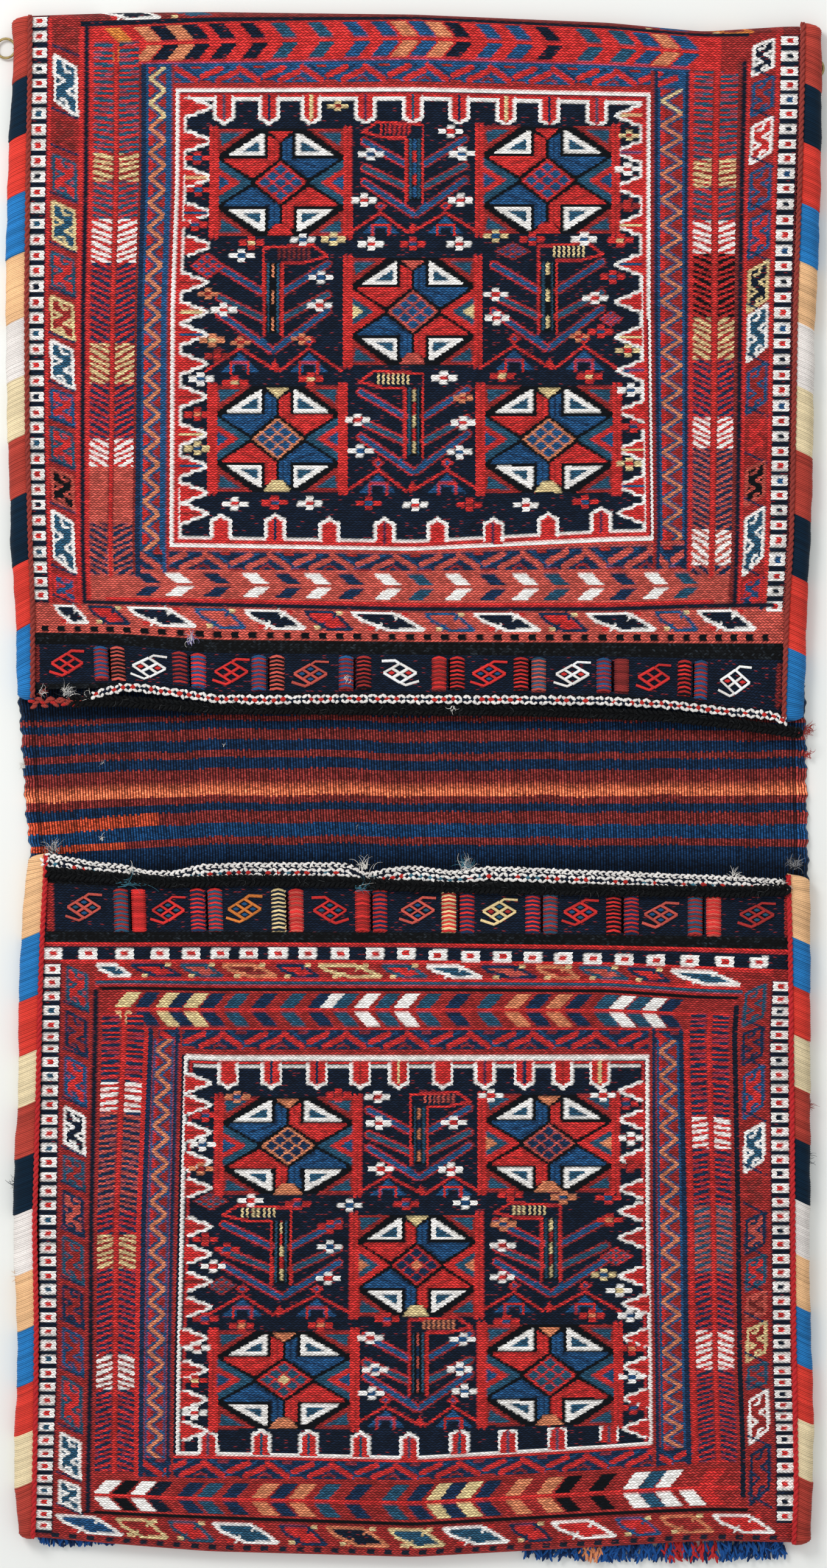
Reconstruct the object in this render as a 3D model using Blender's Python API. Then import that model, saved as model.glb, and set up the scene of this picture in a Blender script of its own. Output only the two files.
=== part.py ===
"""Double saddle bag: one woven strip folded over at both ends into two flat pouches.

Metres, +Z up. X runs across the bag, +Y towards the upper pouch's fold, and the
bag lies on its back on z = 0.
"""
from math import cos, pi, sin

import bmesh
import bpy
from mathutils import Matrix, Vector

# The cloth. Its ends fold over the back and their lips face each other across the bridge.
STRIP_WIDTH = 0.535
UPPER_FACE = 0.468
BRIDGE = 0.118
LOWER_FACE = 0.467
BACK_THICK = 0.0025
POUCH_GAP = 0.0065
FRONT_THICK = 0.004
FOLD_STEPS = 8

# Bands of weave on each face from its lip inwards: hem, closure panel and goat-hair band.
UPPER_BANDS = (0.0125, 0.020, 0.015)
LOWER_BANDS = (0.0105, 0.030, 0.0095)
BAND_RISE = 0.0007
BAND_SLOPE = 0.0012

# Weft stripes of the bridge, from the upper lip down, as (yarn, width).
BRIDGE_STRIPES = (
    ("navy", 0.0100), ("rust", 0.0066), ("navy", 0.0075), ("rust", 0.0082), ("navy", 0.0076), ("rust", 0.0058),
    ("navy", 0.0078), ("rust", 0.0088), ("peach", 0.0094), ("rust", 0.0052), ("navy", 0.0062),
    ("rust", 0.0076), ("navy", 0.0088), ("rust", 0.0044), ("navy", 0.0142),
)
STRIPE_RISE = 0.0004
STRIPE_SLOPE = 0.0008

# Closure slits, between bars of wrapped warp.
SLIT_COUNT = 8
SLIT_PITCH = 0.0568
SLIT_WIDTH = 0.003
SLIT_MARGIN = 0.0015
SLIT_BAR = 0.0085

# The pattern stands a little proud of the plain ground, as packed soumak does.
PATTERN_RISE = 0.0006
PATTERN_ROOT = 0.001

# Cross bands of each face from its goat-hair band inwards, then from its fold inwards, as
# (kind, width). They frame the field on two sides.
UPPER_NEAR = (
    ("blocks", 0.0055), ("slants", 0.0110), ("guard", 0.0040), ("arrows", 0.0190), ("cord", 0.0030),
    ("bars", 0.0125), ("guard", 0.0025), ("line", 0.0025),
)
UPPER_FAR = (
    ("slants", 0.0083), ("guard", 0.0020), ("arrows", 0.0230), ("guard", 0.0033), ("bars", 0.0112),
    ("guard", 0.0027), ("line", 0.0025),
)
LOWER_NEAR = (
    ("blocks", 0.0090), ("guard", 0.0030), ("slants", 0.0105), ("guard", 0.0060), ("arrows", 0.0240),
    ("cord", 0.0030), ("bars", 0.0120), ("guard", 0.0040), ("line", 0.0025),
)
LOWER_FAR = (
    ("blocks", 0.0060), ("slants", 0.0160), ("guard", 0.0015), ("arrows", 0.0230), ("guard", 0.0030),
    ("bars", 0.0145), ("guard", 0.0020), ("line", 0.0025),
)
# Side bands of both faces from the seam cords inwards.
SIDE_BANDS = (
    ("blocks", 0.0116), ("guard", 0.0024), ("slants", 0.0180), ("guard", 0.0070), ("bars", 0.0137),
    ("cord", 0.0028), ("bars", 0.0140), ("guard", 0.0035), ("zigzag", 0.0145), ("guard", 0.0050),
    ("line", 0.0025),
)
BLOCK_PITCH = 0.0106
SLANT_PITCH = 0.0415
BAR_PITCH = 0.0085
ARROW_PITCH = 0.0210
ZIGZAG_PITCH = 0.0250
BAND_GAP = 0.0008
TOOTH_PITCH = 0.0325
TOOTH_LENGTH = 0.0155
TOOTH_WIDTH = 0.0185

# The field: three by three compartments, stars in the corners and the middle, trees between.
FIELD_MARGIN = 0.0045
BAR_CORD = 0.0032

# Side bindings: overcast yarn that holds both layers, one yarn to a colour.
BINDING_WIDTH = 0.015
SEAM_TUCK = 0.004
LIP_THICK = 0.001
CROWN = 0.0008
ROLL_RADIUS = 0.0045
FOLD_MARGIN = 0.004
COLOUR_SLANT = 0.35
UPPER_WRAPS = (
    ("terracotta", 0.0425), ("navy", 0.040), ("red", 0.0405), ("blue", 0.041), ("peach", 0.043),
    ("white", 0.042), ("cream", 0.042), ("terracotta", 0.0415), ("navy", 0.0445), ("red", 0.0465),
    ("blue", 0.050),
)
LOWER_WRAPS = (
    ("peach", 0.051), ("blue", 0.0385), ("red", 0.0355), ("cream", 0.0355), ("terracotta", 0.0355),
    ("navy", 0.040), ("white", 0.0395), ("peach", 0.037), ("blue", 0.0385), ("red", 0.0355),
    ("cream", 0.0375), ("terracotta", 0.0415),
)

# Twisted cords laid along the bindings, and the plaited and twined edges of the lips.
SEAM_CORD_RADIUS = 0.0016
MOUTH_CORD_WIDTH = 0.0095
MOUTH_CORD_THICK = 0.0045
TWINE_WIDTH = 0.0055
TWINE_THICK = 0.002
TWINE_INSET = 0.003
LIP_TWINE_WIDTH = 0.010

# Brass rings sewn behind the upper corners, by a loop of thread round the wire.
RING_RADIUS = 0.0075
RING_WIRE = 0.0009
RING_HEIGHT = 0.0023
LOOP_WIRE = 0.0005
LOOP_SLACK = 0.0003
LEFT_RING_REACH = 0.0075
RIGHT_RING_REACH = 0.0025
LEFT_RING_DOWN = 0.0228
RIGHT_RING_DOWN = 0.0365
RING_SWING_ROOM = 0.0012

# Knotted pile that shows past the lower fold.
PILE_REACH = 0.006
PILE_START = 0.078
PILE_LENGTH = 0.176
PILE_HEIGHT = 0.006
PILE_TUFTS = 22

GAP = 0.0003

LENGTH = UPPER_FACE + BRIDGE + LOWER_FACE
THICK = BACK_THICK + POUCH_GAP + FRONT_THICK
TOP = (LENGTH + PILE_REACH) / 2
BOTTOM = TOP - LENGTH
UPPER_LIP = TOP - UPPER_FACE
LOWER_LIP = BOTTOM + LOWER_FACE
MIDDLE_X = (LEFT_RING_REACH - RIGHT_RING_REACH) / 2
HALF_STRIP = STRIP_WIDTH / 2
OUTER_X = HALF_STRIP + GAP + BINDING_WIDTH - SEAM_TUCK
RABBET = LIP_THICK + GAP
FRONT_UNDER = BACK_THICK + POUCH_GAP

YARNS = {
    "navy": (0.012, 0.028, 0.075), "rust": (0.27, 0.045, 0.025), "peach": (0.85, 0.33, 0.13),
    "terracotta": (0.50, 0.075, 0.045), "red": (0.55, 0.02, 0.03), "blue": (0.03, 0.14, 0.42),
    "white": (0.78, 0.76, 0.70), "cream": (0.80, 0.66, 0.42), "goat_hair": (0.008, 0.010, 0.012),
    "field_wool": (0.010, 0.020, 0.045), "salmon": (0.55, 0.12, 0.08), "brass": (0.60, 0.45, 0.18),
}


def clear_scene():
    for thing in list(bpy.data.objects):
        bpy.data.objects.remove(thing)


def make_materials():
    found = {}
    for name, colour in YARNS.items():
        material = bpy.data.materials.new(name)
        material.use_nodes = True
        shader = material.node_tree.nodes["Principled BSDF"]
        shader.inputs["Base Color"].default_value = (*colour, 1)
        metal = name == "brass"
        shader.inputs["Metallic"].default_value = 1.0 if metal else 0.0
        shader.inputs["Roughness"].default_value = 0.3 if metal else 0.9
        found[name] = material
    return found


def add_object(name, mesh, yarns):
    thing = bpy.data.objects.new(name, mesh)
    for yarn in yarns:
        mesh.materials.append(materials[yarn])
    pieces.objects.link(thing)
    return thing


def extruded(outline, along, low, high):
    """A closed solid: a flat outline in the two axes other than `along`, pulled along that axis."""
    bm = bmesh.new()
    across = [axis for axis in range(3) if axis != along]
    ring = []
    for point in outline:
        place = [0.0, 0.0, 0.0]
        place[along] = low
        place[across[0]], place[across[1]] = point
        ring.append(bm.verts.new(place))
    start = bm.faces.new(ring)
    pulled = bmesh.ops.extrude_face_region(bm, geom=[start])
    moved = [v for v in pulled["geom"] if isinstance(v, bmesh.types.BMVert)]
    shift = [0.0, 0.0, 0.0]
    shift[along] = high - low
    bmesh.ops.translate(bm, verts=moved, vec=shift)
    bmesh.ops.recalc_face_normals(bm, faces=bm.faces)
    return bm


def mesh_from(bm, name):
    mesh = bpy.data.meshes.new(name)
    bm.to_mesh(mesh)
    bm.free()
    return mesh


def boxes_mesh(name, boxes):
    """One mesh of separate boxes, each given by its low and high corner."""
    bm = bmesh.new()
    for low, high in boxes:
        low, high = Vector(low), Vector(high)
        size = Matrix.Diagonal((*(high - low), 1))
        bmesh.ops.create_cube(bm, size=1, matrix=Matrix.Translation((low + high) / 2) @ size)
    return mesh_from(bm, name)


def cut(thing, name, boxes):
    cutter = bpy.data.objects.new(name, boxes_mesh(name, boxes))
    cutter.hide_render = True
    cutter.display_type = "WIRE"
    cutters.objects.link(cutter)
    step = thing.modifiers.new(name, "BOOLEAN")
    step.operation = "DIFFERENCE"
    step.object = cutter


def half_turn(centre_y, radius, centre_z, side, up):
    """Points round a fold from the back to the face, or the other way, without its two ends."""
    steps = range(1, FOLD_STEPS)
    turns = [-pi / 2 + pi * step / FOLD_STEPS for step in steps]
    if not up:
        turns.reverse()
    return [(centre_y + side * radius * cos(a), centre_z + radius * sin(a)) for a in turns]


def raised(start, end, base, rise, slope):
    """A flat-topped ridge across the cloth, between two places along it."""
    step = slope if end > start else -slope
    return [(start, base), (start + step, base + rise), (end - step, base + rise), (end, base)]


def face_profile(lip, fold, bands):
    """The top of a face from its lip to where its fold begins, with its raised goat-hair bands."""
    into = 1 if fold > lip else -1
    hem, panel, goat = bands
    panel_end = lip + into * (hem + panel)
    points = raised(lip, lip + into * hem, THICK, BAND_RISE, BAND_SLOPE)
    points += raised(panel_end, panel_end + into * goat, THICK, BAND_RISE, BAND_SLOPE)
    return points + [(fold - into * THICK / 2, THICK)]


def bridge_profile():
    """The striped bridge from the lower lip up to the upper one."""
    points, low = [], LOWER_LIP
    share = BRIDGE / sum(width for _, width in BRIDGE_STRIPES)
    for index, (_, width) in enumerate(reversed(BRIDGE_STRIPES)):
        high = low + width * share
        rise = STRIPE_RISE if index % 2 else 0.0
        ridge = raised(low, high, BACK_THICK, rise, STRIPE_SLOPE)
        points += ridge if rise else [ridge[0], ridge[-1]]
        low = high
    return [p for i, p in enumerate(points) if i == 0 or abs(p[0] - points[i - 1][0]) > 1e-6]


def strip_yarn(y, z, normal):
    """Which yarn a stretch of the cloth shows, from its place and the way it faces."""
    if normal.z < 0.3:
        return "rust"
    if z < FRONT_UNDER:
        depth, share = UPPER_LIP, BRIDGE / sum(width for _, width in BRIDGE_STRIPES)
        for yarn, width in BRIDGE_STRIPES:
            depth -= width * share
            if y > depth:
                return yarn
        return "navy"
    from_lip = y - UPPER_LIP if y > 0 else LOWER_LIP - y
    hem, panel, goat = UPPER_BANDS if y > 0 else LOWER_BANDS
    if from_lip < hem or hem + panel < from_lip < hem + panel + goat:
        return "goat_hair"
    return "field_wool"


def ring_place(side):
    """Centre of a ring, and its hinge line where the thread holds the wire's inner point."""
    reach = LEFT_RING_REACH if side < 0 else RIGHT_RING_REACH
    down = LEFT_RING_DOWN if side < 0 else RIGHT_RING_DOWN
    turn = RING_RADIUS - RING_WIRE
    x = MIDDLE_X + side * (OUTER_X + reach - RING_RADIUS)
    return Vector((x, TOP - down, RING_HEIGHT)), Vector((x - side * turn, TOP - down, RING_HEIGHT))


def ring_room(side):
    """The hollow that a ring presses into the back of its corner, as a box."""
    centre, hinge = ring_place(side)
    loop = RING_WIRE + LOOP_SLACK + 2 * LOOP_WIRE
    inner = hinge.x - side * (loop + RING_SWING_ROOM)
    outer = MIDDLE_X + side * (OUTER_X + BINDING_WIDTH)
    half = RING_RADIUS + RING_SWING_ROOM / 2
    low = (min(inner, outer), centre.y - half, -BACK_THICK)
    high = (max(inner, outer), centre.y + half, RING_HEIGHT + loop + GAP)
    return low, high


def binding_span(lip, fold):
    """Where a binding starts by the fold and ends by the lip."""
    return (fold - FOLD_MARGIN, lip) if fold > lip else (fold + FOLD_MARGIN, lip)


def slit_places():
    return [MIDDLE_X + (index - (SLIT_COUNT - 1) / 2) * SLIT_PITCH for index in range(SLIT_COUNT)]


class Pattern:
    """Low raised shapes of one face, drawn across it (u, from the middle) and into it from its lip (v)."""

    def __init__(self, lip, into, length):
        self.lip, self.into, self.length = lip, into, length
        self.bm = bmesh.new()
        self.half = HALF_STRIP - SEAM_TUCK - 2 * SEAM_CORD_RADIUS - 2 * BAND_GAP

    def place(self, u, v):
        return MIDDLE_X + u, self.lip + self.into * v, THICK - PATTERN_ROOT

    def cells(self, cells):
        """Neighbouring flat cells (yarn, points) raised together, so that they only change colour."""
        known, faces = {}, []
        for yarn, points in cells:
            corners = []
            for u, v in points:
                key = (round(u, 5), round(v, 5))
                if key not in known:
                    known[key] = self.bm.verts.new(self.place(u, v))
                corners.append(known[key])
            face = self.bm.faces.new(corners)
            face.material_index = PATTERN_YARNS.index(yarn)
            faces.append(face)
        bmesh.ops.recalc_face_normals(self.bm, faces=faces)
        pulled = bmesh.ops.extrude_face_region(self.bm, geom=faces)
        moved = [v for v in pulled["geom"] if isinstance(v, bmesh.types.BMVert)]
        bmesh.ops.translate(self.bm, verts=moved, vec=(0, 0, PATTERN_ROOT + PATTERN_RISE))

    def shape(self, yarn, points, u=0.0, v=0.0):
        self.cells([(yarn, [(u + du, v + dv) for du, dv in points])])

    def banded(self, low, high, across, pitch, yarns, slant=0.0):
        """A band from (u, v) low to high, cut across into cells of repeating yarns."""
        along = 1 - across
        count = max(1, round((high[along] - low[along]) / pitch))
        step = (high[along] - low[along]) / count
        edges = []
        for index in range(count + 1):
            lean = slant * step if 0 < index < count else 0.0
            ends = []
            for side, at in ((low[across], -lean), (high[across], lean)):
                point = [0.0, 0.0]
                point[across], point[along] = side, low[along] + index * step + at / 2
                ends.append(tuple(point))
            edges.append(ends)
        self.cells([
            (yarns[i % len(yarns)], (edges[i][0], edges[i][1], edges[i + 1][1], edges[i + 1][0]))
            for i in range(count)
        ])

    def band(self, kind, low, high, across):
        """One border band between two corners; it runs along u if across is 1 and along v if 0."""
        along = 1 - across
        start, end = list(low), list(high)
        start[across] += BAND_GAP / 2
        end[across] -= BAND_GAP / 2
        if kind == "line":
            self.banded(start, end, across, 1.0, ("white",))
        elif kind == "cord":
            self.banded(start, end, across, 1.0, ("red",))
        elif kind == "blocks":
            self.banded(start, end, across, BLOCK_PITCH / 2, ("white", "navy"))
        elif kind == "bars":
            self.banded(start, end, across, BAR_PITCH / 2, ("red", "blue"), 1.6)
        elif kind == "arrows":
            middle = (start[across] + end[across]) / 2
            for turn, (a, b) in enumerate(((start[across], middle - BAND_GAP / 2), (middle + BAND_GAP / 2, end[across]))):
                near, far = list(start), list(end)
                near[across], far[across] = a, b
                self.banded(near, far, across, ARROW_PITCH / 2, ("salmon", "navy"), 1.0 if turn else -1.0)
        elif kind == "slants":
            self.slants(start, end, across, along)
        elif kind == "zigzag":
            self.zigzag(start, end, across, along)

    def slants(self, start, end, across, along):
        count = max(1, round((end[along] - start[along]) / SLANT_PITCH))
        step = (end[along] - start[along]) / count
        for index in range(count):
            base = start[along] + index * step
            points = []
            for side, part in ((0, 0.08), (1, 0.30), (1, 0.92), (0, 0.70)):
                point = [0.0, 0.0]
                point[across] = (start, end)[side][across]
                point[along] = base + part * step
                points.append(point)
            self.shape(("white", "red", "blue")[index % 3], points)

    def zigzag(self, start, end, across, along):
        count = max(1, round((end[along] - start[along]) / ZIGZAG_PITCH)) * 2
        step = (end[along] - start[along]) / count
        wide = end[across] - start[across]
        rails = [[], []]
        for index in range(count + 1):
            turn = 0.0 if index % 2 else 0.62 * wide
            for rail, lift in zip(rails, (0.0, 0.38 * wide)):
                point = [0.0, 0.0]
                point[across] = start[across] + turn + lift
                point[along] = start[along] + index * step
                rail.append(tuple(point))
        self.cells([
            ("peach", (rails[0][i], rails[1][i], rails[1][i + 1], rails[0][i + 1])) for i in range(count)
        ])


# A star by its top-left quarter, in fractions of half its width and height.
STAR_ARM = (
    (-0.91, 0.48), (-0.22, 0.46), (-0.22, 0.75), (-0.055, 0.75), (-0.055, 0.40), (-0.43, 0.04), (-0.68, 0.26),
)
STAR_TRIANGLE = ((-0.26, 0.52), (-0.26, 0.90), (-0.35, 0.90), (-0.78, 0.58))
STAR_CORNER = ((-0.98, 0.98), (-0.44, 0.98), (-0.98, 0.58))
STAR_HEART = ((-0.39, 0.0), (0.0, 0.36), (0.39, 0.0), (0.0, -0.36))
STAR_CHEVRON = ((-0.98, 0.30), (-0.62, 0.0), (-0.98, -0.30))
STAR_CAP = ((-0.14, 0.98), (0.14, 0.98), (0.0, 0.81))
# A tree in fractions of half its width and of its height, from its foot.
TREE_STEM = (
    (-0.80, 0.90), (-0.60, 0.99), (0.13, 0.99), (0.13, 0.30), (0.0, 0.25), (-0.13, 0.30), (-0.13, 0.86),
)
TREE_BRANCHES = (
    ((-0.82, 0.83), (-0.58, 0.84), (-0.17, 0.69), (-0.17, 0.63)),
    ((-0.82, 0.59), (-0.50, 0.62), (-0.17, 0.51), (-0.17, 0.43)),
)
TREE_FORK = ((-0.82, 0.47), (-0.63, 0.48), (0.0, 0.23), (0.63, 0.48), (0.82, 0.47), (0.0, 0.165))
TREE_FOOT = ((-0.97, 0.0), (-0.53, 0.19), (-0.13, 0.05), (-0.13, 0.0), (-0.39, 0.0), (-0.39, 0.09), (-0.64, 0.09), (-0.64, 0.0))
PANEL_MOTIF = ((-0.0095, 0.0), (0.0, 0.0065), (0.0095, 0.0), (0.0, -0.0065))
PATTERN_YARNS = ("navy", "red", "blue", "white", "peach", "salmon")


def scaled(points, wide, high, flip_u=1, flip_v=1):
    return [(u * wide * flip_u, v * high * flip_v) for u, v in points]


def draw_star(pattern, u, v, wide, high, turn):
    for index, (flip_u, flip_v) in enumerate(((1, 1), (-1, 1), (1, -1), (-1, -1))):
        diagonal = (index in (0, 3)) == bool(turn)
        pattern.shape("red" if diagonal else "blue", scaled(STAR_ARM, wide, high, flip_u, flip_v), u, v)
        pattern.shape("white", scaled(STAR_TRIANGLE, wide, high, flip_u, flip_v), u, v)
        pattern.shape("blue", scaled(STAR_CORNER, wide, high, flip_u, flip_v), u, v)
    pattern.shape("red", scaled(STAR_HEART, wide, high), u, v)
    for flip in (1, -1):
        pattern.shape("red", scaled(STAR_CHEVRON, wide, high, flip, 1), u, v)
        pattern.shape("red", scaled(STAR_CAP, wide, high, 1, flip), u, v)
        edge = wide + BAR_CORD / 2 + BAND_GAP
        pattern.shape("red", (
            (-BAR_CORD / 2, -high), (BAR_CORD / 2, -high), (BAR_CORD / 2, high), (-BAR_CORD / 2, high),
        ), u + flip * edge, v)


def draw_tree(pattern, u, v, wide, high, head):
    """A tree with its foot at v - high; its bent head points to the side that head gives."""
    pattern.shape("navy", scaled(TREE_STEM, wide, 2 * high, head, 1), u, v - high)
    for flip in (1, -1):
        for branch in TREE_BRANCHES:
            pattern.shape("blue", scaled(branch, wide, 2 * high, flip, 1), u, v - high)
        pattern.shape("blue", scaled(TREE_FOOT, wide, 2 * high, flip, 1), u, v - high)
    pattern.shape("red", scaled(TREE_FORK, wide, 2 * high), u, v - high)


def draw_field(pattern, side, low, high):
    """Teeth all round the field, then stars and trees in three rows of three."""
    across = 2 * side
    for edge, into in ((low, 1), (high, -1)):
        count = round(across / TOOTH_PITCH)
        for index in range(count):
            u = -side + (index + 0.5) * across / count
            pattern.shape("blue", ((-TOOTH_WIDTH / 2, 0), (TOOTH_WIDTH / 2, 0), (0, into * TOOTH_LENGTH)), u, edge)
    start, end = low + TOOTH_LENGTH, high - TOOTH_LENGTH
    count = round((end - start) / TOOTH_PITCH)
    for edge, into in ((-side, 1), (side, -1)):
        for index in range(count):
            v = start + (index + 0.5) * (end - start) / count
            pattern.shape("red", ((0, -TOOTH_WIDTH / 2), (into * TOOTH_LENGTH, 0), (0, TOOTH_WIDTH / 2)), edge, v)
    inner = side - TOOTH_LENGTH - FIELD_MARGIN
    start, end = start + FIELD_MARGIN, end - FIELD_MARGIN
    wide, high_half = inner / 3, (end - start) / 6
    for row in range(3):
        for column in range(3):
            u, v = (column - 1) * 2 * wide, start + (2 * row + 1) * high_half
            half_wide = wide - BAR_CORD - 3 * BAND_GAP
            half_high = high_half - FIELD_MARGIN
            if (row + column) % 2 == 0:
                draw_star(pattern, u, v, half_wide, half_high, (row + column // 2) % 2)
            else:
                draw_tree(pattern, u, v, half_wide, half_high, 1 if row < 2 else -1)


def add_pattern(strip, name, pattern, bands, near, far):
    hem, panel, goat = bands
    middle = hem + panel / 2
    bar = SLIT_WIDTH / 2 + BAND_GAP + SLIT_BAR / 2
    tall = panel / 2 - SLIT_MARGIN
    places = [x - MIDDLE_X for x in slit_places()]
    for index, u in enumerate(places):
        for side in (-1, 1):
            yarn = ("red", "blue", "salmon")[(index + (side > 0)) % 3]
            rect = ((-SLIT_BAR / 2, -tall), (SLIT_BAR / 2, -tall), (SLIT_BAR / 2, tall), (-SLIT_BAR / 2, tall))
            pattern.shape(yarn, rect, u + side * bar, middle)
    for index in range(SLIT_COUNT + 1):
        u = places[0] + (index - 0.5) * SLIT_PITCH
        pattern.shape("white" if index % 2 else "red", PANEL_MOTIF, u, middle)

    low, high = hem + panel + goat + BAND_GAP, pattern.length - THICK / 2 - BAND_GAP
    side = pattern.half
    for kind, width in SIDE_BANDS:
        for flip in (-1, 1):
            edges = sorted((flip * side, flip * (side - width)))
            pattern.band(kind, (edges[0], low), (edges[1], high), 0)
        side -= width
    side -= BAND_GAP
    for bands_from, start, into in ((near, low, 1), (far, high, -1)):
        for kind, width in bands_from:
            edges = sorted((start, start + into * width))
            pattern.band(kind, (-side, edges[0]), (side, edges[1]), 1)
            start += into * width
        if into > 0:
            low = start + BAND_GAP
        else:
            high = start - BAND_GAP
    draw_field(pattern, side, low, high)

    mesh = mesh_from(pattern.bm, name)
    for yarn in PATTERN_YARNS:
        mesh.materials.append(materials[yarn])
    guide = bpy.data.objects.new(name, mesh)
    guide.hide_render = True
    guide.display_type = "WIRE"
    cutters.objects.link(guide)
    step = strip.modifiers.new(name, "BOOLEAN")
    step.operation = "UNION"
    step.material_mode = "TRANSFER"
    step.object = guide


def make_strip():
    outer, inner = THICK / 2, POUCH_GAP / 2
    inner_z = BACK_THICK + inner
    outline = face_profile(UPPER_LIP, TOP, UPPER_BANDS)
    outline += half_turn(TOP - outer, outer, outer, 1, False)
    outline += [(TOP - outer, 0.0), (BOTTOM + outer, 0.0)]
    outline += half_turn(BOTTOM + outer, outer, outer, -1, True)
    outline += reversed(face_profile(LOWER_LIP, BOTTOM, LOWER_BANDS))
    outline += [(LOWER_LIP, FRONT_UNDER), (BOTTOM + outer, FRONT_UNDER)]
    outline += half_turn(BOTTOM + outer, inner, inner_z, -1, False)
    outline += [(BOTTOM + outer, BACK_THICK)]
    outline += bridge_profile()
    outline += [(TOP - outer, BACK_THICK)]
    outline += half_turn(TOP - outer, inner, inner_z, 1, True)
    outline += [(TOP - outer, FRONT_UNDER), (UPPER_LIP, FRONT_UNDER)]
    bm = extruded(outline, 0, MIDDLE_X - HALF_STRIP, MIDDLE_X + HALF_STRIP)
    shown = ["field_wool", "navy", "rust", "peach", "goat_hair"]
    for face in bm.faces:
        centre = face.calc_center_median()
        face.material_index = shown.index(strip_yarn(centre.y, centre.z, face.normal))
    strip = add_object("woven_strip", mesh_from(bm, "woven_strip"), shown)

    rooms = []
    beyond = BINDING_WIDTH
    for side in (-1, 1):
        edge, out = MIDDLE_X + side * HALF_STRIP, MIDDLE_X + side * (HALF_STRIP + beyond)
        groove = edge - side * (SEAM_TUCK + 2 * SEAM_CORD_RADIUS + GAP)
        tuck = edge - side * SEAM_TUCK
        for lip, fold in ((UPPER_LIP, TOP), (LOWER_LIP, BOTTOM)):
            start, end = binding_span(lip, fold)
            start += GAP if fold > lip else -GAP
            end += -beyond if fold > lip else beyond
            near, far = min(start, end), max(start, end)
            rooms.append(((min(out, groove), near, THICK - RABBET), (max(out, groove), far, 2 * THICK)))
            rooms.append(((min(out, tuck), near, -THICK), (max(out, tuck), far, RABBET)))
    cut(strip, "binding_rabbets", rooms)
    for name, lip, into, bands, near, far in (
        ("upper_pattern", UPPER_LIP, 1, UPPER_BANDS, UPPER_NEAR, UPPER_FAR),
        ("lower_pattern", LOWER_LIP, -1, LOWER_BANDS, LOWER_NEAR, LOWER_FAR),
    ):
        add_pattern(strip, name, Pattern(lip, into, UPPER_FACE if into > 0 else LOWER_FACE), bands, near, far)
    slits = []
    for lip, into, (hem, panel, _) in ((UPPER_LIP, 1, UPPER_BANDS), (LOWER_LIP, -1, LOWER_BANDS)):
        middle = lip + into * (hem + panel / 2)
        half_slit = panel / 2 - SLIT_MARGIN
        for x in slit_places():
            slits.append((
                (x - SLIT_WIDTH / 2, middle - half_slit, FRONT_UNDER - POUCH_GAP / 2),
                (x + SLIT_WIDTH / 2, middle + half_slit, 2 * THICK),
            ))
    cut(strip, "closure_slits", slits)
    cut(strip, "ring_rooms_in_cloth", [ring_room(-1), ring_room(1)])
    return strip


def binding_outline(side):
    """Section of the overcast roll, open inward where the two selvedges go in."""
    bend, width, high = ROLL_RADIUS, BINDING_WIDTH, THICK
    corner = (0, pi / 4, pi / 2)
    points = [(width, 0.0)]
    points += [(bend - bend * sin(a), bend - bend * cos(a)) for a in corner]
    points += [(bend - bend * cos(a), high - bend + bend * sin(a)) for a in corner]
    points += [(width * 0.6, high + CROWN), (width, high), (width, high - LIP_THICK)]
    wall = width - SEAM_TUCK
    points += [(wall, high - LIP_THICK), (wall, LIP_THICK), (width, LIP_THICK)]
    return [(MIDDLE_X + side * (OUTER_X - x), z) for x, z in points]


def make_binding(side, half, wraps, lip, fold):
    start, end = binding_span(lip, fold)
    share = abs(end - start) / sum(length for _, length in wraps)
    order = wraps if fold > lip else tuple(reversed(wraps))
    place = start
    made = []
    for index, (yarn, length) in enumerate(order):
        after = place + (length * share if end > start else -length * share)
        low, high = min(place, after) + GAP / 2, max(place, after) - GAP / 2
        bm = extruded(binding_outline(side), 1, low, high)
        last = len(order) - 1
        plain = {place: index == 0, after: index == last}
        for vert in bm.verts:
            at_low = abs(vert.co.y - low) < GAP
            whole = plain[min(place, after)] if at_low else plain[max(place, after)]
            inward = OUTER_X - side * (vert.co.x - MIDDLE_X)
            vert.co.y += 0.0 if whole else COLOUR_SLANT * (inward - BINDING_WIDTH / 2)
        number = index + 1 if fold > lip else len(order) - index
        name = f"wrap_{half}_{'left' if side < 0 else 'right'}_{number:02d}_{yarn}"
        made.append(add_object(name, mesh_from(bm, name), [yarn]))
        place = after
    return made


def make_seam_cord(side, half, lip, fold, yarn):
    start, end = binding_span(lip, fold)
    edge = HALF_STRIP - SEAM_TUCK - SEAM_CORD_RADIUS
    x = MIDDLE_X + side * edge
    z = THICK - RABBET + GAP + SEAM_CORD_RADIUS
    curve = bpy.data.curves.new("seam_cord", "CURVE")
    curve.dimensions = "3D"
    curve.bevel_depth = SEAM_CORD_RADIUS
    curve.bevel_resolution = 2
    curve.use_fill_caps = True
    line = curve.splines.new("POLY")
    line.points.add(1)
    for point, y in zip(line.points, (start, end)):
        point.co = (x, y, z, 1)
    curve.materials.append(materials[yarn])
    cord = bpy.data.objects.new(f"seam_cord_{half}_{'left' if side < 0 else 'right'}", curve)
    pieces.objects.link(cord)


def oval(centre_y, bottom, width, height, sides):
    turns = [2 * pi * (step + 0.5) / sides for step in range(sides)]
    return [
        (centre_y + width / 2 * cos(a), bottom + height / 2 + height / 2 * sin(a)) for a in turns
    ]


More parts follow.
